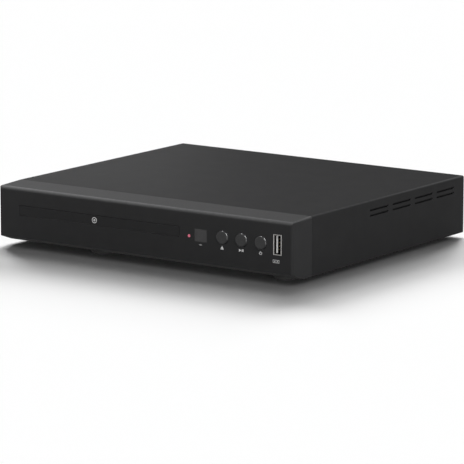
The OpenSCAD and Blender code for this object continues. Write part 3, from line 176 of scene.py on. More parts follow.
def make_lamp(name, row, reflected, lit):
    """A soft box at a place, turned to the object, with a width, a height and a brightness."""
    place, width, height, brightness = row
    data = bpy.data.lights.new(name, "AREA")
    data.shape = "RECTANGLE"
    data.size = width
    data.size_y = height
    data.energy = brightness * math.pi * width * height
    lamp = bpy.data.objects.new(name, data)
    bpy.context.scene.collection.objects.link(lamp)
    lamp.location = place
    towards = Vector(place) - Vector((0, 0, CASE_Z))
    lamp.rotation_mode = "QUATERNION"
    lamp.rotation_quaternion = towards.to_track_quat("Z", "Y")
    lamp.visible_glossy = reflected
    lamp.visible_camera = False
    lamp.light_linking.receiver_collection = lit
    lamp.light_linking.blocker_collection = lit


def gathered(name, objects):
    """A collection of the objects that a lamp is for."""
    collection = bpy.data.collections.new(name)
    for obj in objects:
        collection.objects.link(obj)
    return collection


def make_lamps():
    """Soft boxes for the object alone: the floor neither gets their light nor stops it."""
    scene = bpy.context.scene.objects
    lit = gathered("lit", [obj for obj in scene if obj.type == "MESH" and obj.name != "floor"])
    sheet = gathered("sheet", [frame["nodes"]["top_cover"], scene["vent_louvres"]])
    panel = gathered("panel", [frame["nodes"]["front_panel"]])
    caps = gathered("caps", [scene[name + "_cap"] for name in BUTTONS])
    make_lamp("cap_lamp", CAP_LAMP, True, caps)
    make_lamp("cap_top_lamp", CAP_TOP_LAMP, True, caps)
    make_lamp("front_lamp", FRONT_LAMP, False, lit)
    make_lamp("rear_lamp", REAR_LAMP, True, sheet)
    make_lamp("side_lamp", SIDE_LAMP, True, lit)
    make_lamp("cheek_lamp", CHEEK_LAMP, False, panel)
    make_lamp("flank_lamp", FLANK_LAMP, False, sheet)
    make_lamp("rim_lamp", RIM_LAMP, True, lit)
    make_lamp("edge_lamp", EDGE_LAMP, True, lit)
    make_lamp("band_lamp", BAND_LAMP, True, panel)
    make_lamp("brow_lamp", BROW_LAMP, True, panel)


def make_world():
    """White to the camera and in reflections, a weak even fill for everything else."""
    world = bpy.data.worlds.new("studio")
    bpy.context.scene.world = world
    world.use_nodes = True
    tree = world.node_tree
    seen = tree.nodes["Background"]
    seen.inputs["Color"].default_value = (1, 1, 1, 1)
    coords = tree.nodes.new("ShaderNodeTexCoord")
    split = tree.nodes.new("ShaderNodeSeparateXYZ")
    tree.links.new(coords.outputs["Generated"], split.inputs[0])
    tree.links.new(spread(tree, split.outputs["Z"], BELOW, 1.0, *BELOW_RANGE),
                   seen.inputs["Strength"])
    fill = tree.nodes.new("ShaderNodeBackground")
    fill.inputs["Color"].default_value = (1, 1, 1, 1)
    fill.inputs["Strength"].default_value = FILL
    path = tree.nodes.new("ShaderNodeLightPath")
    # 1 for a ray that has met no matt surface yet
    direct = tree.nodes.new("ShaderNodeMath")
    direct.operation = "LESS_THAN"
    direct.inputs[1].default_value = 0.5
    tree.links.new(path.outputs["Diffuse Depth"], direct.inputs[0])
    seen_ray = path.outputs["Is Camera Ray"]
    for other in ("Is Glossy Ray", "Is Transmission Ray"):
        seen_ray = combined(tree, "MAXIMUM", seen_ray, path.outputs[other])
    seen_ray = combined(tree, "MULTIPLY", seen_ray, direct.outputs[0])
    mix = tree.nodes.new("ShaderNodeMixShader")
    tree.links.new(seen_ray, mix.inputs[0])
    tree.links.new(fill.outputs[0], mix.inputs[1])
    tree.links.new(seen.outputs[0], mix.inputs[2])
    tree.links.new(mix.outputs[0], tree.nodes["World Output"].inputs["Surface"])


def make_floor():
    """A plain white floor that the feet stand on, clear from below."""
    mesh = bpy.data.meshes.new("floor")
    half = FLOOR_SIZE / 2
    corners = [(-half, -half, 0), (half, -half, 0), (half, half, 0), (-half, half, 0)]
    mesh.from_pydata(corners, [], [(0, 1, 2, 3)])
    floor = bpy.data.objects.new("floor", mesh)
    bpy.context.scene.collection.objects.link(floor)
    mat = bpy.data.materials.new("floor")
    mat.use_nodes = True
    tree = mat.node_tree
    shader = tree.nodes["Principled BSDF"]
    shader.inputs["Base Color"].default_value = (FLOOR_ALBEDO, FLOOR_ALBEDO, FLOOR_ALBEDO, 1)
    shader.inputs["Roughness"].default_value = 1.0
    shader.inputs["Specular IOR Level"].default_value = 0.0
    side = tree.nodes.new("ShaderNodeNewGeometry")
    clear = tree.nodes.new("ShaderNodeBsdfTransparent")
    mix = tree.nodes.new("ShaderNodeMixShader")
    tree.links.new(side.outputs["Backfacing"], mix.inputs[0])
    tree.links.new(shader.outputs[0], mix.inputs[1])
    tree.links.new(clear.outputs[0], mix.inputs[2])
    tree.links.new(mix.outputs[0], tree.nodes["Material Output"].inputs["Surface"])
    mesh.materials.append(mat)
    floor.visible_glossy = False


# ---------- material helpers ----------


def material(name):
    """A new material: its tree, its Principled shader and the object's own coordinates."""
    mat = bpy.data.materials.new(name)
    mat.use_nodes = True
    tree = mat.node_tree
    coords = tree.nodes.new("ShaderNodeTexCoord")
    return mat, tree, tree.nodes["Principled BSDF"], coords.outputs["Object"]


def scaled(tree, coords, stretch):
    """Coordinates multiplied along each axis."""
    mapping = tree.nodes.new("ShaderNodeMapping")
    mapping.inputs["Scale"].default_value = stretch
    tree.links.new(coords, mapping.inputs["Vector"])
    return mapping.outputs["Vector"]


def noise(tree, coords, size, detail=2.0):
    """Noise whose grains are about size metres across."""
    texture = tree.nodes.new("ShaderNodeTexNoise")
    texture.inputs["Scale"].default_value = 1 / size
    texture.inputs["Detail"].default_value = detail
    tree.links.new(coords, texture.inputs["Vector"])
    return texture.outputs["Fac"]


def cells(tree, coords, size, output="Color", feature="F1"):
    """Voronoi cells about size metres across."""
    texture = tree.nodes.new("ShaderNodeTexVoronoi")
    texture.feature = feature
    texture.inputs["Scale"].default_value = 1 / size
    tree.links.new(coords, texture.inputs["Vector"])
    return texture.outputs[output]


def spread(tree, value, low, high, start=0.3, end=0.7):
    """A value from start to end turned into one from low to high."""
    node = tree.nodes.new("ShaderNodeMapRange")
    node.inputs["From Min"].default_value = start
    node.inputs["From Max"].default_value = end
    node.inputs["To Min"].default_value = low
    node.inputs["To Max"].default_value = high
    tree.links.new(value, node.inputs["Value"])
    return node.outputs["Result"]


def tint(tree, value, dark, light, start=0.3, end=0.7):
    """Two colours mixed by a value."""
    ramp = tree.nodes.new("ShaderNodeValToRGB")
    ramp.color_ramp.elements[0].position = start
    ramp.color_ramp.elements[0].color = (*dark, 1)
    ramp.color_ramp.elements[1].position = end
    ramp.color_ramp.elements[1].color = (*light, 1)
    tree.links.new(value, ramp.inputs["Fac"])
    return ramp.outputs["Color"]


def bump(tree, height, depth, shader):
    """Bump of the given depth in metres."""
    node = tree.nodes.new("ShaderNodeBump")
    node.inputs["Strength"].default_value = 1.0
    node.inputs["Distance"].default_value = depth
    tree.links.new(height, node.inputs["Height"])
    tree.links.new(node.outputs["Normal"], shader.inputs["Normal"])


def parted(tree, vector):
    """The three parts of a vector."""
    split = tree.nodes.new("ShaderNodeSeparateXYZ")
    tree.links.new(vector, split.inputs[0])
    return tuple(split.outputs)


def combined(tree, operation, first, second):
    """The result of a Math node on two values."""
    node = tree.nodes.new("ShaderNodeMath")
    node.operation = operation
    tree.links.new(first, node.inputs[0])
    tree.links.new(second, node.inputs[1])
    return node.outputs[0]


def coated(tree, shader, colour, cover):
    """Lays a colour over the shader's own where the cover is 1."""
    mix = tree.nodes.new("ShaderNodeMixRGB")
    tree.links.new(shader.inputs["Base Color"].links[0].from_socket, mix.inputs["Color1"])
    mix.inputs["Color2"].default_value = (*colour, 1)
    tree.links.new(cover, mix.inputs["Fac"])
    tree.links.new(mix.outputs[0], shader.inputs["Base Color"])


def shade(colour, factor):
    """A colour made darker or lighter."""
    return tuple(min(1.0, c * factor) for c in colour)


def moulded(name, colour, roughness, level, grain, depth, mottle):
    """Moulded plastic, paint or rubber: fine grain in the surface and a faint unevenness of tone."""
    mat, tree, shader, coords = material(name)
    grains = noise(tree, coords, grain, 3)
    blotches = noise(tree, coords, 30 * grain, 2)
    colours = tint(tree, blotches, shade(colour, 1 - mottle), shade(colour, 1 + mottle))
    tree.links.new(colours, shader.inputs["Base Color"])
    rough = spread(tree, grains, roughness - 0.06, roughness + 0.06)
    tree.links.new(rough, shader.inputs["Roughness"])
    shader.inputs["Specular IOR Level"].default_value = level
    bump(tree, grains, depth, shader)
    return mat


def metal(name, colour, roughness, grain, stretch, depth):
    """Bare or plated metal with the fine lines that rolling or drawing leaves."""
    mat, tree, shader, coords = material(name)
    shader.inputs["Metallic"].default_value = 1.0
    lines = noise(tree, scaled(tree, coords, stretch), grain, 3)
    clouds = noise(tree, coords, 20 * grain, 2)
    tree.links.new(tint(tree, clouds, shade(colour, 0.88), colour), shader.inputs["Base Color"])
    rough = spread(tree, lines, roughness - 0.1, roughness + 0.1)
    tree.links.new(rough, shader.inputs["Roughness"])
    bump(tree, lines, depth, shader)
    return mat


# How near a normal's largest part comes to 1 on a bend with the painted highlight and on a flat face
# beside it
BEND_RANGE = (0.955, 0.997)
# The upward part of a normal where the painted highlight begins and where it is whole
HIGHLIGHT_RISE_RANGE = (0.25, 0.95)


def paint_bend_highlights(mat, colour):
    """Paints a highlight on the upper bends and rounded edges, whose normals lie between the axes: a
    lighter, patchy colour that stands in for the light they catch.
    """
    tree = mat.node_tree
    coords = tree.nodes.new("ShaderNodeTexCoord")
    sizes = tree.nodes.new("ShaderNodeVectorMath")
    sizes.operation = "ABSOLUTE"
    tree.links.new(coords.outputs["Normal"], sizes.inputs[0])
    x, y, z = parted(tree, sizes.outputs[0])
    largest = combined(tree, "MAXIMUM", combined(tree, "MAXIMUM", x, y), z)
    raised = parted(tree, coords.outputs["Normal"])[2]
    patchy = noise(tree, coords.outputs["Object"], 2.5 * MM, 3)
    # Painted highlight: lighter colour on the bends, strongest where they face up
    painted_highlight = spread(tree, largest, 1.0, 0.0, *BEND_RANGE)
    painted_highlight = combined(tree, "MULTIPLY", painted_highlight, spread(tree, patchy, 0.8, 1.0))
    painted_highlight = combined(tree, "MULTIPLY", painted_highlight, spread(tree, raised, 0, 1, *HIGHLIGHT_RISE_RANGE))
    coated(tree, tree.nodes["Principled BSDF"], colour, painted_highlight)


# ---------- one material for each slot ----------


def zinc_sheet():
    """Hot-dip galvanised steel with its crystal pattern."""
    mat, tree, shader, coords = material("zinc_sheet")
    shader.inputs["Metallic"].default_value = 1.0
    crystals = cells(tree, coords, 4 * MM)
    grains = noise(tree, coords, 0.8 * MM, 3)
    tree.links.new(tint(tree, crystals, (0.5, 0.505, 0.51), (0.56, 0.565, 0.57)),
                   shader.inputs["Base Color"])
    tree.links.new(spread(tree, crystals, 0.4, 0.46, 0, 1), shader.inputs["Roughness"])
    bump(tree, grains, 0.006 * MM, shader)
    # Painted shade: whatever faces down is coloured black
    paint_shade_below(tree, shader)
    return mat


# The upward part of a normal where the black painted shade below ends and where the bare sheet begins
SHADE_BELOW_RANGE = (-0.9, -0.7)


def paint_shade_below(tree, shader):
    """Painted shade under the player: whatever faces down is coloured black and made not metallic."""
    facing = tree.nodes.new("ShaderNodeTexCoord")
    bare = spread(tree, parted(tree, facing.outputs["Normal"])[2], 0, 1, *SHADE_BELOW_RANGE)
    blotches = noise(tree, facing.outputs["Object"], 9 * MM, 3)
    mix = tree.nodes.new("ShaderNodeMixRGB")
    tree.links.new(bare, mix.inputs["Fac"])
    tree.links.new(tint(tree, blotches, (0.019, 0.019, 0.0195), (0.023, 0.023, 0.0235)),
                   mix.inputs["Color1"])
    tree.links.new(shader.inputs["Base Color"].links[0].from_socket, mix.inputs["Color2"])
    tree.links.new(mix.outputs[0], shader.inputs["Base Color"])
    tree.links.new(bare, shader.inputs["Metallic"])


def circuit_board():
    """Solder mask over tracks that run in straight lines."""
    mat, tree, shader, coords = material("board_green")
    tracks = cells(tree, scaled(tree, coords, (1, 0.25, 1)), 2.2 * MM, "Distance", "DISTANCE_TO_EDGE")
    colours = tint(tree, tracks, (0.02, 0.12, 0.045), (0.008, 0.05, 0.02), 0.05, 0.12)
    tree.links.new(colours, shader.inputs["Base Color"])
    tree.links.new(spread(tree, noise(tree, coords, 2 * MM), 0.28, 0.42), shader.inputs["Roughness"])
    shader.inputs["Specular IOR Level"].default_value = 0.4
    bump(tree, tracks, 0.02 * MM, shader)
    return mat


def copper_winding():
    """Varnished turns of wire."""
    mat, tree, shader, coords = material("wound_copper")
    wave = tree.nodes.new("ShaderNodeTexWave")
    wave.bands_direction = "Z"
    wave.inputs["Scale"].default_value = 1 / (2.2 * MM)
    wave.inputs["Distortion"].default_value = 0.6
    tree.links.new(coords, wave.inputs["Vector"])
    tree.links.new(tint(tree, wave.outputs["Fac"], (0.16, 0.06, 0.015), (0.5, 0.3, 0.08)),
                   shader.inputs["Base Color"])
    tree.links.new(spread(tree, noise(tree, coords, 1 * MM), 0.3, 0.45), shader.inputs["Roughness"])
    bump(tree, wave.outputs["Fac"], 0.15 * MM, shader)
    return mat


def tinted_window():
    """Smoky plastic that lets infrared through."""
    mat, tree, shader, coords = material("window_plastic")
    fine = noise(tree, coords, 0.5 * MM, 2)
    cloud = noise(tree, coords, 6 * MM, 1)
    tree.links.new(tint(tree, cloud, (0.019, 0.0185, 0.019), (0.025, 0.0245, 0.025)),
                   shader.inputs["Base Color"])
    tree.links.new(spread(tree, fine, 0.16, 0.24), shader.inputs["Roughness"])
    shader.inputs["Specular IOR Level"].default_value = 0.3
    bump(tree, fine, 0.002 * MM, shader)
    return mat


def lit_lamp():
    """Red lens of the lamp, lit from behind."""
    mat, tree, shader, coords = material("lamp_plastic")
    fine = noise(tree, coords, 0.3 * MM, 2)
    glow = tint(tree, fine, (0.4, 0.07, 0.11), (0.5, 0.11, 0.16))
    tree.links.new(glow, shader.inputs["Base Color"])
    tree.links.new(glow, shader.inputs["Emission Color"])
    shader.inputs["Emission Strength"].default_value = 0.25
    tree.links.new(spread(tree, fine, 0.15, 0.3), shader.inputs["Roughness"])
    return mat


def clear_lens():
    """Blue-coated glass of the objective lens."""
    mat, tree, shader, coords = material("lens_glass")
    fine = noise(tree, coords, 0.6 * MM, 2)
    tree.links.new(tint(tree, fine, (0.16, 0.22, 0.42), (0.24, 0.32, 0.55)),
                   shader.inputs["Base Color"])
    tree.links.new(spread(tree, fine, 0.04, 0.08), shader.inputs["Roughness"])
    shader.inputs["Coat Weight"].default_value = 1.0
    shader.inputs["Coat Roughness"].default_value = 0.02
    return mat


# An even texture, and the usual unevenness of tone
EVEN = (1, 1, 1)
MOTTLE = 0.12
# Colour, roughness, specular level, the grain's size and depth in millimetres, unevenness of tone
MOULDED = {
    "cover_paint": ((0.0214, 0.0214, 0.0218), 0.6, 0.0025, 0.45, 0.012, 0.04),
    "panel_plastic": ((0.0172, 0.0172, 0.0176), 0.6, 0.04, 0.3, 0.005, 0.04),
    "black_rubber": ((0.02, 0.02, 0.02), 0.8, 0.2, 0.6, 0.03, MOTTLE),
    "button_plastic": ((0.009, 0.009, 0.0093), 0.22, 0.35, 0.25, 0.004, MOTTLE),
    "white_plastic": ((0.42, 0.42, 0.41), 0.4, 0.4, 0.4, 0.006, 0.03),
    "loader_plastic": ((0.03, 0.03, 0.032), 0.5, 0.35, 0.4, 0.01, MOTTLE),
    "tray_plastic": ((0.035, 0.035, 0.037), 0.45, 0.35, 0.3, 0.01, MOTTLE),
    "black_plastic": ((0.022, 0.022, 0.023), 0.45, 0.3, 0.35, 0.006, MOTTLE),
    "sensor_plastic": ((0.02, 0.012, 0.02), 0.2, 0.5, 0.4, 0.002, MOTTLE),
    "capacitor_film": ((0.02, 0.03, 0.12), 0.3, 0.4, 0.5, 0.004, MOTTLE),
    "lead_plastic": ((0.5, 0.03, 0.03), 0.45, 0.4, 0.4, 0.01, MOTTLE),
    "jack_plastic": ((0.75, 0.55, 0.03), 0.4, 0.4, 0.4, 0.006, 0.05),
}
# Colour, roughness, the lines' size in millimetres, their stretch, their depth in millimetres
METALS = {
    "screw_steel": ((0.5, 0.5, 0.52), 0.35, 0.3, EVEN, 0.004),
    "port_steel": ((0.4, 0.39, 0.38), 0.3, 0.2, (1, 0.1, 1), 0.003),
    "motor_steel": ((0.62, 0.62, 0.63), 0.3, 0.3, (1, 1, 0.1), 0.004),
    "fin_aluminium": ((0.78, 0.79, 0.8), 0.35, 0.25, (1, 0.05, 1), 0.006),
    "pin_brass": ((0.8, 0.6, 0.3), 0.28, 0.2, (1, 0.2, 1), 0.003),
    "jack_nickel": ((0.72, 0.68, 0.6), 0.2, 0.2, (1, 0.1, 1), 0.002),
}
# The colour of the painted highlight on the upper bends
BEND_HIGHLIGHT_COLOURS = {
    "cover_paint": (0.058, 0.058, 0.059),
    "panel_plastic": (0.07, 0.07, 0.071),
}


def make_materials():
    """The finish of every slot in the record."""
    made = {
        "zinc_sheet": zinc_sheet(),
        "board_green": circuit_board(),
        "wound_copper": copper_winding(),
        "window_plastic": tinted_window(),
        "lamp_plastic": lit_lamp(),
        "lens_glass": clear_lens(),
    }
    for name, (colour, roughness, level, grain, depth, mottle) in MOULDED.items():
        made[name] = moulded(name, colour, roughness, level, grain * MM, depth * MM, mottle)
    for name, (colour, roughness, grain, stretch, depth) in METALS.items():
        made[name] = metal(name, colour, roughness, grain * MM, stretch, depth * MM)
    # Painted highlights on the upper bends of the cover and the panel
    for name, colour in BEND_HIGHLIGHT_COLOURS.items():
        paint_bend_highlights(made[name], colour)
    return made


# Widths in millimetres of the rounding on the CAD nodes' edges
EDGES = {
    "front_panel": 0.3, "top_cover": 0.25, "chassis": 0.1, "tray_door": 0.15, "status_window": 0.12,
    "usb_shell": 0.08, "disc_tray": 0.2, "loader_frame": 0.2, "clamp_bridge": 0.2,
    "traverse_frame": 0.15, "optical_pickup": 0.2, "mains_inlet": 0.2, "av_block": 0.2,
    "transformer": 0.3, "chips": 0.1, "board_sockets": 0.15, "cam_slider": 0.15,
}


def dress_cad(finishes):
    """Every CAD node gets the finish of its slot, and rigid ones slightly rounded edges."""
    for part in frame["record"]["subparts"]:
        obj = frame["nodes"][part["node"]]
        obj.data.materials.clear()
        obj.data.materials.append(finishes[part["material_slot"]])
        if part["node"] in EDGES:
            weld = obj.modifiers.new("weld", "WELD")
            weld.merge_threshold = JOIN * MM
            soften(obj, EDGES[part["node"]] * MM)


# ---------- mesh building ----------


def walls(count):
    """Faces between a loop of points and the like loop that follows it."""
    return [(i, (i + 1) % count, count + (i + 1) % count, count + i) for i in range(count)]


def rectangle(left, bottom, right, top):
    """Outline of a rectangle."""
    return [(left, bottom), (right, bottom), (right, top), (left, top)]


class Shape:
    """One mesh under construction, in millimetres, placed by a matrix."""

    def __init__(self):
        self.made = bmesh.new()

    def add(self, points, faces, place):
        """Vertices and faces, moved to their place."""
        verts = [self.made.verts.new(place @ (Vector(p) * MM)) for p in points]
        for face in faces:
            self.made.faces.new([verts[i] for i in face])

    def plate(self, outline, low, high, place):
        """A flat outline given thickness from low to high."""
        n = len(outline)
        points = [(x, y, low) for x, y in outline] + [(x, y, high) for x, y in outline]
        ends = [tuple(range(n - 1, -1, -1)), tuple(range(n, 2 * n))]
        self.add(points, ends + walls(n), place)

    def hollow(self, rim, floor, low, high, place):
        """Walls from an outline at one height to a like one at another, closed at the second."""
        n = len(rim)
        points = [(x, y, low) for x, y in rim] + [(x, y, high) for x, y in floor]
        self.add(points, walls(n) + [tuple(range(n, 2 * n))], place)

    def block(self, low, high, place):
        """A box between two corners."""
        self.plate(rectangle(*low[:2], *high[:2]), low[2], high[2], place)

    def lathe(self, profile, place, steps=48):
        """A profile of (radius, height) points turned about the height axis."""
        points = []
        rows = []
        for radius, height in profile:
            count = 1 if radius == 0 else steps
            rows.append([len(points) + k for k in range(count)])
            for k in range(count):
                angle = 2 * math.pi * k / steps
                points.append((radius * math.cos(angle), radius * math.sin(angle), height))
        faces = []
        for low, high in zip(rows, rows[1:]):
            for k in range(steps):
                quad = [low[k % len(low)], low[(k + 1) % len(low)],
                        high[(k + 1) % len(high)], high[k % len(high)]]
                faces.append(tuple(dict.fromkeys(quad)))
        self.add(points, [f for f in faces if len(f) > 2], place)

    def ring(self, inner, outer, low, high, place):
        """A flat ring of square section."""
        profile = [(inner, low), (outer, low), (outer, high), (inner, high), (inner, low)]
        self.lathe(profile, place)

    def tube(self, outer, inner, low, high, place):
        """A straight tube between two outlines with the same number of points."""
        n = len(outer)
        points = [(x, y, z) for z in (low, high) for loop in (outer, inner) for x, y in loop]
        faces = []
        for i in range(n):
            j = (i + 1) % n
            faces += [(i, j, 2 * n + j, 2 * n + i), (n + j, n + i, 3 * n + i, 3 * n + j),
                      (j, i, n + i, n + j), (2 * n + i, 2 * n + j, 3 * n + j, 3 * n + i)]
        self.add(points, faces, place)

    def face_with_hole(self, rim, hole, height, place):
        """A flat face between an outer and an inner outline."""
        edges = []
        for loop in (rim, hole):
            verts = [self.made.verts.new(place @ (Vector((x, y, height)) * MM)) for x, y in loop]
            edges += [self.made.edges.new((a, b)) for a, b in zip(verts, verts[1:] + verts[:1])]
        bmesh.ops.triangle_fill(self.made, use_beauty=True, edges=edges)

    def finish(self, name):
        """The finished mesh, with its doubled points joined and its normals outwards."""
        bmesh.ops.remove_doubles(self.made, verts=self.made.verts, dist=JOIN / 2 * MM)
        bmesh.ops.recalc_face_normals(self.made, faces=self.made.faces)
        mesh = bpy.data.meshes.new(name)
        self.made.to_mesh(mesh)
        self.made.free()
        return mesh


def frame_of(across, up, origin):
    """A place whose X runs across, whose Y runs up and whose Z points outwards."""
    out = Vector(across).cross(Vector(up))
    turn = Matrix((Vector(across), Vector(up), out)).transposed().to_4x4()
    return Matrix.Translation(Vector(origin)) @ turn


def on_front(x, z):
    """A place on the front face, seen from the front."""
    return frame_of((1, 0, 0), (0, 0, 1), (x, FACE_Y, z))


def on_rear(x, z, y):
    """A place on a rearward face at depth y, seen from the rear."""
    return frame_of((-1, 0, 0), (0, 0, 1), (x, y, z))


def on_top(x, y, z):
    """A place on a face that looks up."""
    return frame_of((1, 0, 0), (0, 1, 0), (x, y, z))


def on_bottom(x, y, z):
    """A place on a face that looks down."""
    return frame_of((1, 0, 0), (0, -1, 0), (x, y, z))


def circle(radius, steps=40, centre=(0, 0), start=0.0, sweep=2 * math.pi):
    """Points on a circle or an arc of it."""
    last = steps if abs(sweep) < 2 * math.pi else steps - 1
    return [
        (centre[0] + radius * math.cos(start + sweep * k / steps),
         centre[1] + radius * math.sin(start + sweep * k / steps))
        for k in range(last + 1)
    ]


END_STEPS = 12


def capsule(length, width):
    """Outline of a slot with round ends."""
    half = (length - width) / 2
    right = circle(width / 2, END_STEPS, (half, 0), -math.pi / 2, math.pi)
    left = circle(width / 2, END_STEPS, (-half, 0), math.pi / 2, math.pi)
    return right + left


def soften(obj, width):
    """Rounds the sharp edges."""
    mod = obj.modifiers.new("edges", "BEVEL")
    mod.width = width
    mod.segments = 2
    mod.limit_method = "ANGLE"
    mod.angle_limit = math.radians(SOFT_ANGLE)
    mod.harden_normals = True


def piece(name, shape, body, finish, bevel=0.0, replaced=()):
    """Turns a shape into an object that rides on a body and takes its finish."""
    mesh = shape.finish(name)
    mesh.shade_smooth()
    mesh.set_sharp_from_angle(angle=math.radians(SHARP_ANGLE))
    mesh.materials.append(finish)
    obj = bpy.data.objects.new(name, mesh)
    bpy.context.scene.collection.objects.link(obj)
    if bevel:
        soften(obj, bevel)
    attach(obj, body)
    if replaced:
        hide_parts(*replaced)


def islands(node):
    """The boxes of a CAD node's separate solids, as (low, high) pairs from left to right."""
    made = bmesh.new()
    made.from_mesh(frame["nodes"][node].data)
    bmesh.ops.remove_doubles(made, verts=made.verts, dist=JOIN * MM)
    left = set(made.verts)
    boxes = []
    while left:
        grown = [left.pop()]
        low = grown[0].co.copy()
        high = grown[0].co.copy()
        while grown:
            vert = grown.pop()
            low = Vector(map(min, low, vert.co))
            high = Vector(map(max, high, vert.co))
            near = [e.other_vert(vert) for e in vert.link_edges]
            found = [v for v in near if v in left]
            left.difference_update(found)
            grown += found
        boxes.append((low, high))
    made.free()
    return sorted(boxes, key=lambda box: (round(box[0].x, 4), round(box[0].y, 4)))


# ---------- printed signs on the front ----------


def print_ink(name, colour):
    """Screen-printed ink, a little uneven."""
    mat, tree, shader, coords = material(name)
    grains = noise(tree, coords, 0.15 * MM, 2)
    tree.links.new(tint(tree, grains, shade(colour, 0.85), colour), shader.inputs["Base Color"])
    tree.links.new(spread(tree, grains, 0.45, 0.6), shader.inputs["Roughness"])
    shader.inputs["Specular IOR Level"].default_value = 0.3
    return mat


def eject_sign(shape, place):
    """A triangle over a bar."""
    shape.plate([(-1.1, -0.5), (1.1, -0.5), (0, 1.3)], 0, PRINT_T, place)
    shape.block((-1.1, -1.05, 0), (1.1, -0.75, PRINT_T), place)


def play_sign(shape, place):
    """A triangle and two bars."""
    shape.plate([(-1.7, -0.9), (0.1, 0), (-1.7, 0.9)], 0, PRINT_T, place)
    for x in (0.4, 1.2):
        shape.block((x, -0.85, 0), (x + 0.45, 0.85, PRINT_T), place)


def standby_sign(shape, place):
    """An open circle with a stroke through its gap."""
    gap = math.radians(35)
    start = math.pi / 2 + gap
    sweep = 2 * math.pi - 2 * gap
    outer = circle(1.1, 28, (0, 0), start, sweep)
    inner = circle(0.8, 28, (0, 0), start, sweep)
    shape.plate(outer + inner[::-1], 0, PRINT_T, place)
    shape.block((-0.16, 0.1, 0), (0.16, 1.25, PRINT_T), place)


def sensor_sign(shape, place):
    """A dot between two short strokes, under the receiver's window."""
    shape.plate(circle(0.3, 16), 0, PRINT_T, place)
    for side in (-1, 1):
        shape.block((side * 0.8 - 0.3, -0.15, 0), (side * 0.8 + 0.3, 0.15, PRINT_T), place)


def port_sign(shape, place):
    """A plug's mouth in outline with its two windows."""
    for y in (-0.95, 0.71):
        shape.block((-2.4, y, 0), (2.4, y + 0.24, PRINT_T), place)
    for x in (-2.4, 2.16):
        shape.block((x, -0.71, 0), (x + 0.24, 0.71, PRINT_T), place)
    for x in (-1.3, 0.6):
        shape.block((x, -0.3, 0), (x + 0.7, 0.3, PRINT_T), place)


def make_signs(ink):
    """The signs below the controls, and two plain rings round one middle on the door."""
    shape = Shape()
    for name, sign in zip(BUTTONS, (eject_sign, play_sign, standby_sign)):
        sign(shape, on_front(middle(name + "_button").x, SIGN_Z))
    sensor_sign(shape, on_front(middle("status_window").x, SIGN_Z))
    port_sign(shape, on_front(middle("usb_shell").x - PORT_SIGN_LEFT, PORT_SIGN_Z))
    piece("control_signs", shape, "case", ink)
    low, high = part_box("tray_door")
    shape = Shape()
    place = on_front(low.x + DOOR_SIGN_SHARE * (high.x - low.x), middle("tray_door").z)
    for inner, outer in DOOR_RINGS:
        shape.ring(inner, outer, 0, PRINT_T, place)
    piece("door_disc_sign", shape, "tray", ink)


# ---------- screws and feet ----------

# A pan head's profile and its cross recess, as shares of the head's radius and height
HEAD_PROFILE = ((1, 0), (1, 0.45), (0.95, 0.7), (0.86, 0.9), (0.72, 1))
HEAD_STEPS = 32
CROSS_REACH = 0.55
CROSS_HALF = 0.15
CROSS_TAPER = 0.8
CROSS_FLOOR = 0.35
SHANK_SHARE = 0.44
# Millimetres
HEAD_H = 1.8
COVER_SHANK_R = 1.25
COVER_TIP_H = 0.6
FOOT_RECESS = 1.5
FOOT_HEAD_H = 1.0


def cross_outline(radius):
    """Outline of a cross recess in a head of this radius."""
    a = CROSS_REACH * radius
    b = CROSS_HALF * radius
    return [(b, b), (b, a), (-b, a), (-b, b), (-a, b), (-a, -b),
            (-b, -b), (-b, -a), (b, -a), (b, -b), (a, -b), (a, b)]


def screw_head(shape, place, radius, height):
    """A pan head with rounded shoulders and a cross recess, from 0 up to its height."""
    profile = [(across * radius, up * height) for across, up in HEAD_PROFILE]
    shape.lathe(profile, place, HEAD_STEPS)
    cross = cross_outline(radius)
    shape.face_with_hole(circle(profile[-1][0], HEAD_STEPS), cross, height, place)
    floor = [(CROSS_TAPER * x, CROSS_TAPER * y) for x, y in cross]
    shape.hollow(cross, floor, height, CROSS_FLOOR * height, place)


def whole_screw(shape, low, high):
    """A pan head with its shank along the longer way of a screw's box."""
    mid = (low + high) / 2
    radius = (high.x - low.x) / 2 / MM
    size = high - low
    if size.z > size.y:
        place = on_top(mid.x, mid.y, high.z - HEAD_H * MM)
    else:
        place = on_rear(mid.x, mid.z, high.y - HEAD_H * MM)
    tip = HEAD_H - max(size.y, size.z) / MM
    shank_r = SHANK_SHARE * radius
    screw_head(shape, place, radius, HEAD_H)
    shape.lathe([(0, tip), (shank_r, tip), (shank_r, 0)], place, 20)


def make_screws(finishes):
    """Screws with cross recesses in place of the plain ones."""
    black = metal("black_zinc", (0.05, 0.05, 0.052), 0.4, 0.3 * MM, EVEN, 0.004 * MM)
    shape = Shape()
    for low, high in islands("cover_screws"):
        mid = (low + high) / 2
        radius = (high.x - low.x) / 2 / MM
        screw_head(shape, on_rear(mid.x, mid.z, REAR_Y), radius, (high.y - REAR_Y) / MM)
        profile = [(0, 0), (COVER_SHANK_R, COVER_TIP_H), (COVER_SHANK_R, (REAR_Y - low.y) / MM)]
        shape.lathe(profile, on_rear(mid.x, mid.z, low.y), 24)
    piece("cover_screw_heads", shape, "case", black, replaced=("cover_screws",))
    for node in ("loader_screws", "board_screws"):
        shape = Shape()
        for low, high in islands(node):
            whole_screw(shape, low, high)
        piece(node + "_heads", shape, "case", finishes["screw_steel"],
              replaced=(node,))


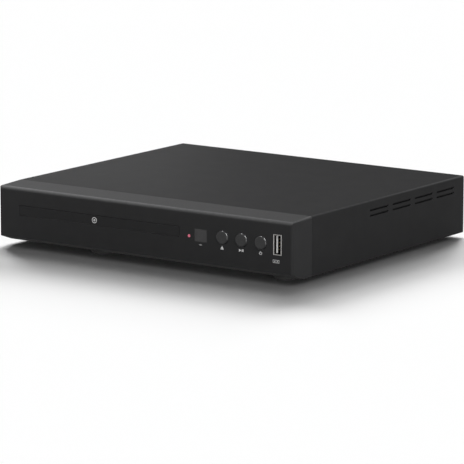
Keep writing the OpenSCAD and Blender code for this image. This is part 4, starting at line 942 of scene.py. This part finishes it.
def make_feet(finishes):
    """Rubber feet with a rounded edge, a recess and a screw up through it."""
    rubber = Shape()
    heads = Shape()
    for low, high in islands("feet"):
        mid = (low + high) / 2
        radius = (high.x - low.x) / 2 / MM
        height = (high.z - low.z) / MM
        floor_z = height - FOOT_RECESS
        rubber.lathe([
            (0, floor_z), (0.42 * radius, floor_z), (0.46 * radius, height - 0.35),
            (0.52 * radius, height), (0.86 * radius, height), (0.95 * radius, height - 0.18),
            (radius, height - 0.6), (radius, 0.25), (0.97 * radius, 0), (0, 0),
        ], on_bottom(mid.x, mid.y, high.z), 56)
        screw_head(heads, on_bottom(mid.x, mid.y, high.z - floor_z * MM), 0.3 * radius, FOOT_HEAD_H)
    piece("rubber_feet", rubber, "case", finishes["black_rubber"],
          replaced=("feet",))
    piece("foot_screws", heads, "case", finishes["screw_steel"])


# ---------- buttons ----------

# Millimetres: the flange's overlap and depths behind the face, the stem, and the cap's round rim
FLANGE_OVER = 0.6
FLANGE_BACK = (2.45, 3.45)
STEM_R = 2.2
RIM = 0.75
RIM_STEPS = 8
HOLLOW_SHARE = 0.5
HOLLOW_DEPTHS = (0.05, 0.08)


def make_buttons(finishes):
    """Caps with a rounded, polished rim round a slightly hollow face."""
    for name in BUTTONS:
        node = name + "_button"
        low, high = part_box(node)
        proud = (FACE_Y - low.y) / MM
        flange_r = (high.z - low.z) / 2 / MM
        cap_r = flange_r - FLANGE_OVER
        stem_end = (high.y - FACE_Y) / MM
        flange_front, flange_end = FLANGE_BACK
        profile = [
            (0, -stem_end), (STEM_R, -stem_end), (STEM_R, -flange_end), (flange_r, -flange_end),
            (flange_r, -flange_front), (cap_r, -flange_front),
        ]
        for k in range(RIM_STEPS + 1):
            angle = math.pi / 2 * k / RIM_STEPS
            inward = RIM * (1 - math.cos(angle))
            profile.append((cap_r - inward, proud - RIM * (1 - math.sin(angle))))
        profile.append((HOLLOW_SHARE * cap_r, proud - HOLLOW_DEPTHS[0]))
        profile.append((0, proud - HOLLOW_DEPTHS[1]))
        shape = Shape()
        mid = (low + high) / 2
        shape.lathe(profile, on_front(mid.x, mid.z), 64)
        piece(name + "_cap", shape, name, finishes["button_plastic"],
              replaced=(node,))


# ---------- the port and the rear sockets ----------

# The port, in millimetres: the tongue's thickness and its gap from the left side, how far the
# tongue and the near-black strip of painted shade under the contacts end from top and bottom, the
# base and its play in the shell, the contacts, the shell's thickness and that of the near-black
# sheets of painted shade inside it, and the rim over and inside the mouth
TONGUE_T = 1.1
TONGUE_GAP = 1.4
TONGUE_END = 1
SHADE_STRIP_END = 1.1
BASE_T = 3
BASE_INSET = 0.45
CONTACTS = 4
CONTACT_HALF = 0.45
SHELL_T = 0.41
SHADE_SHEET_T = 0.12
RIM_OVER = 0.1
RIM_INSIDE = 0.42
# The spring tabs: their place as a share of half the port's height, half their width at the foot
# and at the crest, how far the crest stands in, and the heights of the front, crest and rear
TAB_SHARE = 0.36
TAB_HALF = 0.9
CREST_HALF = 0.7
CREST_IN = 0.4
TAB_ENDS = (-2.5, -5, -8)


def port_axes():
    """The port's own axes, from the middle of its left side: X to the right, Y up, Z out of the
    mouth. With them its width, half its height and its depth in millimetres."""
    low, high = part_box("usb_shell")
    place = frame_of((1, 0, 0), (0, 0, 1), (low.x, low.y, (low.z + high.z) / 2))
    depth = (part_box("usb_tongue")[1].y - low.y) / MM
    return place, (high.x - low.x) / MM, (high.z - low.z) / 2 / MM, depth


def mouth(width, half_h, inset):
    """The outline of the port's mouth, drawn in by the inset."""
    return rectangle(inset, -half_h + inset, width - inset, half_h - inset)


def make_port_tongue(finishes):
    """The tongue on its base, and the contacts on the tongue's right side."""
    place, width, half_h, depth = port_axes()
    side = TONGUE_GAP + TONGUE_T
    reach = half_h - TONGUE_END
    root = BASE_T - depth
    shape = Shape()
    shape.block((TONGUE_GAP, -reach, root), (side, reach, -1), place)
    shape.plate(mouth(width, half_h, BASE_INSET), -depth, root, place)
    piece("port_tongue", shape, "case", finishes["white_plastic"], 0.12 * MM,
          replaced=("usb_tongue",))
    shape = Shape()
    pitch = 2 * reach / (CONTACTS + 1)
    for k in range(CONTACTS):
        y = -reach + (k + 1) * pitch
        low = (side + 0.05, y - CONTACT_HALF, root)
        shape.block(low, (side + 0.16, y + CONTACT_HALF, -2.2), place)
    piece("port_contacts", shape, "case", finishes["pin_brass"], 0.03 * MM)


def make_port_painted_shade():
    """Painted shade in the port: near-black sheets lining the shell's walls and a near-black strip
    under the contacts.
    """
    place, width, half_h, depth = port_axes()
    side = TONGUE_GAP + TONGUE_T
    reach = half_h - SHADE_STRIP_END
    shape = Shape()
    outer = mouth(width, half_h, SHELL_T)
    inner = mouth(width, half_h, SHELL_T + SHADE_SHEET_T)
    shape.tube(outer, inner, BASE_T + 0.05 - depth, -0.8, place)
    shape.block((side - 0.02, -reach, BASE_T - depth), (side + 0.08, reach, -1.2), place)
    # Near-black: painted shade inside the port
    dark = moulded("port_shade_black", (0.004, 0.004, 0.004), 0.7, 0.1, 0.35 * MM, 0.004 * MM, MOTTLE)
    piece("port_painted_shade", shape, "case", dark)


def make_port_metal(finish):
    """The port's flared rim and two spring tabs on the left inside."""
    place, width, half_h, _ = port_axes()
    shape = Shape()
    shape.tube(mouth(width, half_h, -RIM_OVER), mouth(width, half_h, RIM_INSIDE), -0.1, 0.3, place)
    piece("port_rim", shape, "case", finish, 0.12 * MM)
    foot = SHELL_T + SHADE_SHEET_T
    crest = foot + CREST_IN
    front, top, rear = TAB_ENDS
    shape = Shape()
    for y in (-TAB_SHARE * half_h, TAB_SHARE * half_h):
        points = [(foot, y - TAB_HALF, front), (foot, y + TAB_HALF, front),
                  (foot, y + TAB_HALF, rear), (foot, y - TAB_HALF, rear),
                  (crest, y - CREST_HALF, top), (crest, y + CREST_HALF, top)]
        faces = [(0, 1, 5, 4), (4, 5, 2, 3), (0, 4, 3), (1, 2, 5), (0, 3, 2, 1)]
        shape.add(points, faces, place)
    piece("port_spring_tabs", shape, "case", finish)


JACKS = (
    ("video", (0.8, 0.6, 0.03)),
    ("left", (0.8, 0.8, 0.78)),
    ("right", (0.62, 0.02, 0.02)),
)
JACK_RING = (5.3, 5.9, 0.05)


def make_jack(name, colour, core, replaced):
    """A coloured insulator in place of a jack's core, and the ring printed round the jack."""
    low, high = core
    mid = (low + high) / 2
    radius = (high.x - low.x) / 2 / MM
    length = (high.y - low.y) / MM
    finish = moulded("insulator_" + name, colour, 0.35, 0.4, 0.3 * MM, 0.003 * MM, 0.04)
    shape = Shape()
    shape.lathe([
        (0, 0), (radius, 0), (radius, length - 0.4), (radius - 0.4, length), (2.5, length),
        (2.1, length - 0.3), (2.0, length - 1.6), (1.7, length - 1.9), (1.7, 3), (0, 3),
    ], on_rear(mid.x, mid.z, low.y), 48)
    piece("insulator_" + name, shape, "case", finish, replaced=replaced)
    inner, outer, thick = JACK_RING
    shape = Shape()
    shape.ring(inner, outer, 0, thick, on_rear(mid.x, mid.z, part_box("chassis")[1].y))
    piece("ring_" + name, shape, "case", print_ink("ink_" + name, shade(colour, 0.9)))


def make_jacks():
    """Insulators and rings for the three jacks."""
    replaced = ("jack_cores",)
    for core, (name, colour) in zip(islands("jack_cores"), JACKS):
        make_jack(name, colour, core, replaced)
        replaced = ()


# The flat socket's contacts: how many, half their width, their distance from the shell's sides,
# and the two ends of their depth and height from the shell's front and middle, in millimetres
VIDEO_CONTACTS = 10
VIDEO_CONTACT_HALF = 0.22
VIDEO_END = 2.6
VIDEO_CONTACT_LOW = (3.2, 1.0)
VIDEO_CONTACT_HIGH = (10.2, 1.08)


def make_video_contacts(finishes):
    """The row of contacts on the tongue of the flat video socket."""
    low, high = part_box("hdmi_shell")
    mid = (low + high) / 2
    place = on_top(mid.x, low.y, mid.z)
    half = (high.x - low.x) / 2 / MM - VIDEO_END
    shape = Shape()
    for k in range(VIDEO_CONTACTS):
        x = -half + 2 * half * k / (VIDEO_CONTACTS - 1)
        low_corner = (x - VIDEO_CONTACT_HALF, *VIDEO_CONTACT_LOW)
        shape.block(low_corner, (x + VIDEO_CONTACT_HALF, *VIDEO_CONTACT_HIGH), place)
    piece("video_contacts", shape, "case", finishes["pin_brass"])


# Millimetres: each screw's offset from its socket, its radius and its head's height
JACK_SCREW = (7.5, 1.9, 0.8)
INLET_SCREW = (15, 2.4, 0.8)


def make_rear_screws(finishes):
    """Screws that hold the sockets to the rear wall."""
    wall_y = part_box("chassis")[1].y
    jacks = islands("jack_cores")
    step = jacks[1][0].x - jacks[0][0].x
    shape = Shape()
    rise, radius, height = JACK_SCREW
    for low, high in jacks[:2]:
        x = (low.x + high.x) / 2 + step / 2
        z = middle("jack_cores").z + rise * MM
        screw_head(shape, on_rear(x, z, wall_y), radius, height)
    aside, radius, height = INLET_SCREW
    inlet = middle("mains_inlet")
    for side in (-1, 1):
        screw_head(shape, on_rear(inlet.x + side * aside * MM, inlet.z, wall_y), radius, height)
    piece("rear_wall_screws", shape, "case", finishes["screw_steel"])


# ---------- sheet metal details ----------

# Beads: their middle and length as shares of the floor, and whether they run from front to rear
BEADS = (
    (-0.27, 0.02, 0.62, True),
    (0.27, 0.02, 0.62, True),
    (0.0, -0.17, 0.4, False),
    (0.0, 0.31, 0.4, False),
)
BEAD_W = 7
BEAD_SLOPE = 1
BEAD_DEEP = 0.6
FLOOR_SCREWS = ((-0.44, -0.32), (0.44, -0.32), (-0.44, 0.4), (0.44, 0.4), (0.0, -0.34), (0.0, 0.44))
FLOOR_SCREW_R = 2.9
FLOOR_SCREW_H = 1.3
# The cover's slots, in millimetres from its rear and its top
VENT_LENGTH = 22.5
VENT_WIDTH = 1.4
VENT_PITCH = 27.4
VENT_COLUMNS = 4
VENT_ROW_PITCH = 3.5
VENT_ROWS = 2
VENT_END = 23.6
VENT_DROP = 6.4
SHEET_T = 0.8
# The blade behind a slot: its overlap above and beside it, thickness, depth and drop below it
BLADE_LAP = 0.6
BLADE_T = 0.4
BLADE_DEPTH = 1.6
BLADE_DROP = 0.5


def make_underside(finishes):
    """Pressed beads in the floor and the screws that come up through it."""
    low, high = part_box("chassis")
    mid = (low + high) / 2
    size = high - low
    beads = Shape()
    for x, y, share, turned in BEADS:
        place = on_bottom(mid.x + x * size.x, mid.y + y * size.y, low.z)
        length = share * size.x / MM
        if turned:
            place = place @ Matrix.Rotation(math.pi / 2, 4, "Z")
            length = share * size.y / MM
        top = capsule(length - 2 * BEAD_SLOPE, BEAD_W - 2 * BEAD_SLOPE)
        beads.hollow(capsule(length, BEAD_W), top, -0.05, BEAD_DEEP, place)
    piece("floor_beads", beads, "case", finishes["zinc_sheet"])
    screws = Shape()
    for x, y in FLOOR_SCREWS:
        place = on_bottom(mid.x + x * size.x, mid.y + y * size.y, low.z)
        screw_head(screws, place, FLOOR_SCREW_R, FLOOR_SCREW_H)
    piece("floor_screws", screws, "case", finishes["screw_steel"])


def make_louvres(finishes):
    """A sloping blade behind every slot in the cover's sides."""
    low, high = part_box("top_cover")
    half = VENT_WIDTH / 2
    top = half + BLADE_LAP
    foot = -half - BLADE_DROP
    blade = [(0, top), (-BLADE_T, top), (-BLADE_DEPTH, foot), (BLADE_T - BLADE_DEPTH, foot), (0, half)]
    reach = VENT_LENGTH / 2 + BLADE_LAP
    shape = Shape()
    for side, wall in ((-1, low.x + SHEET_T * MM), (1, high.x - SHEET_T * MM)):
        for row in range(VENT_ROWS):
            z = high.z - (VENT_DROP + row * VENT_ROW_PITCH) * MM
            for k in range(VENT_COLUMNS):
                y = high.y - (VENT_END + k * VENT_PITCH) * MM
                shape.plate(blade, -reach, reach, frame_of((side, 0, 0), (0, 0, 1), (wall, y, z)))
    piece("vent_louvres", shape, "case", finishes["cover_paint"])


# ---------- the scene ----------

make_camera()
make_key()
make_world()
make_floor()
finishes = make_materials()
dress_cad(finishes)
make_signs(print_ink("sign_ink", (0.55, 0.55, 0.55)))
make_screws(finishes)
make_feet(finishes)
make_buttons(finishes)
make_port_tongue(finishes)
make_port_painted_shade()
make_port_metal(finishes["port_steel"])
make_jacks()
make_video_contacts(finishes)
make_rear_screws(finishes)
make_underside(finishes)
make_louvres(finishes)
make_lamps()

bpy.context.scene.view_settings.view_transform = "Standard"
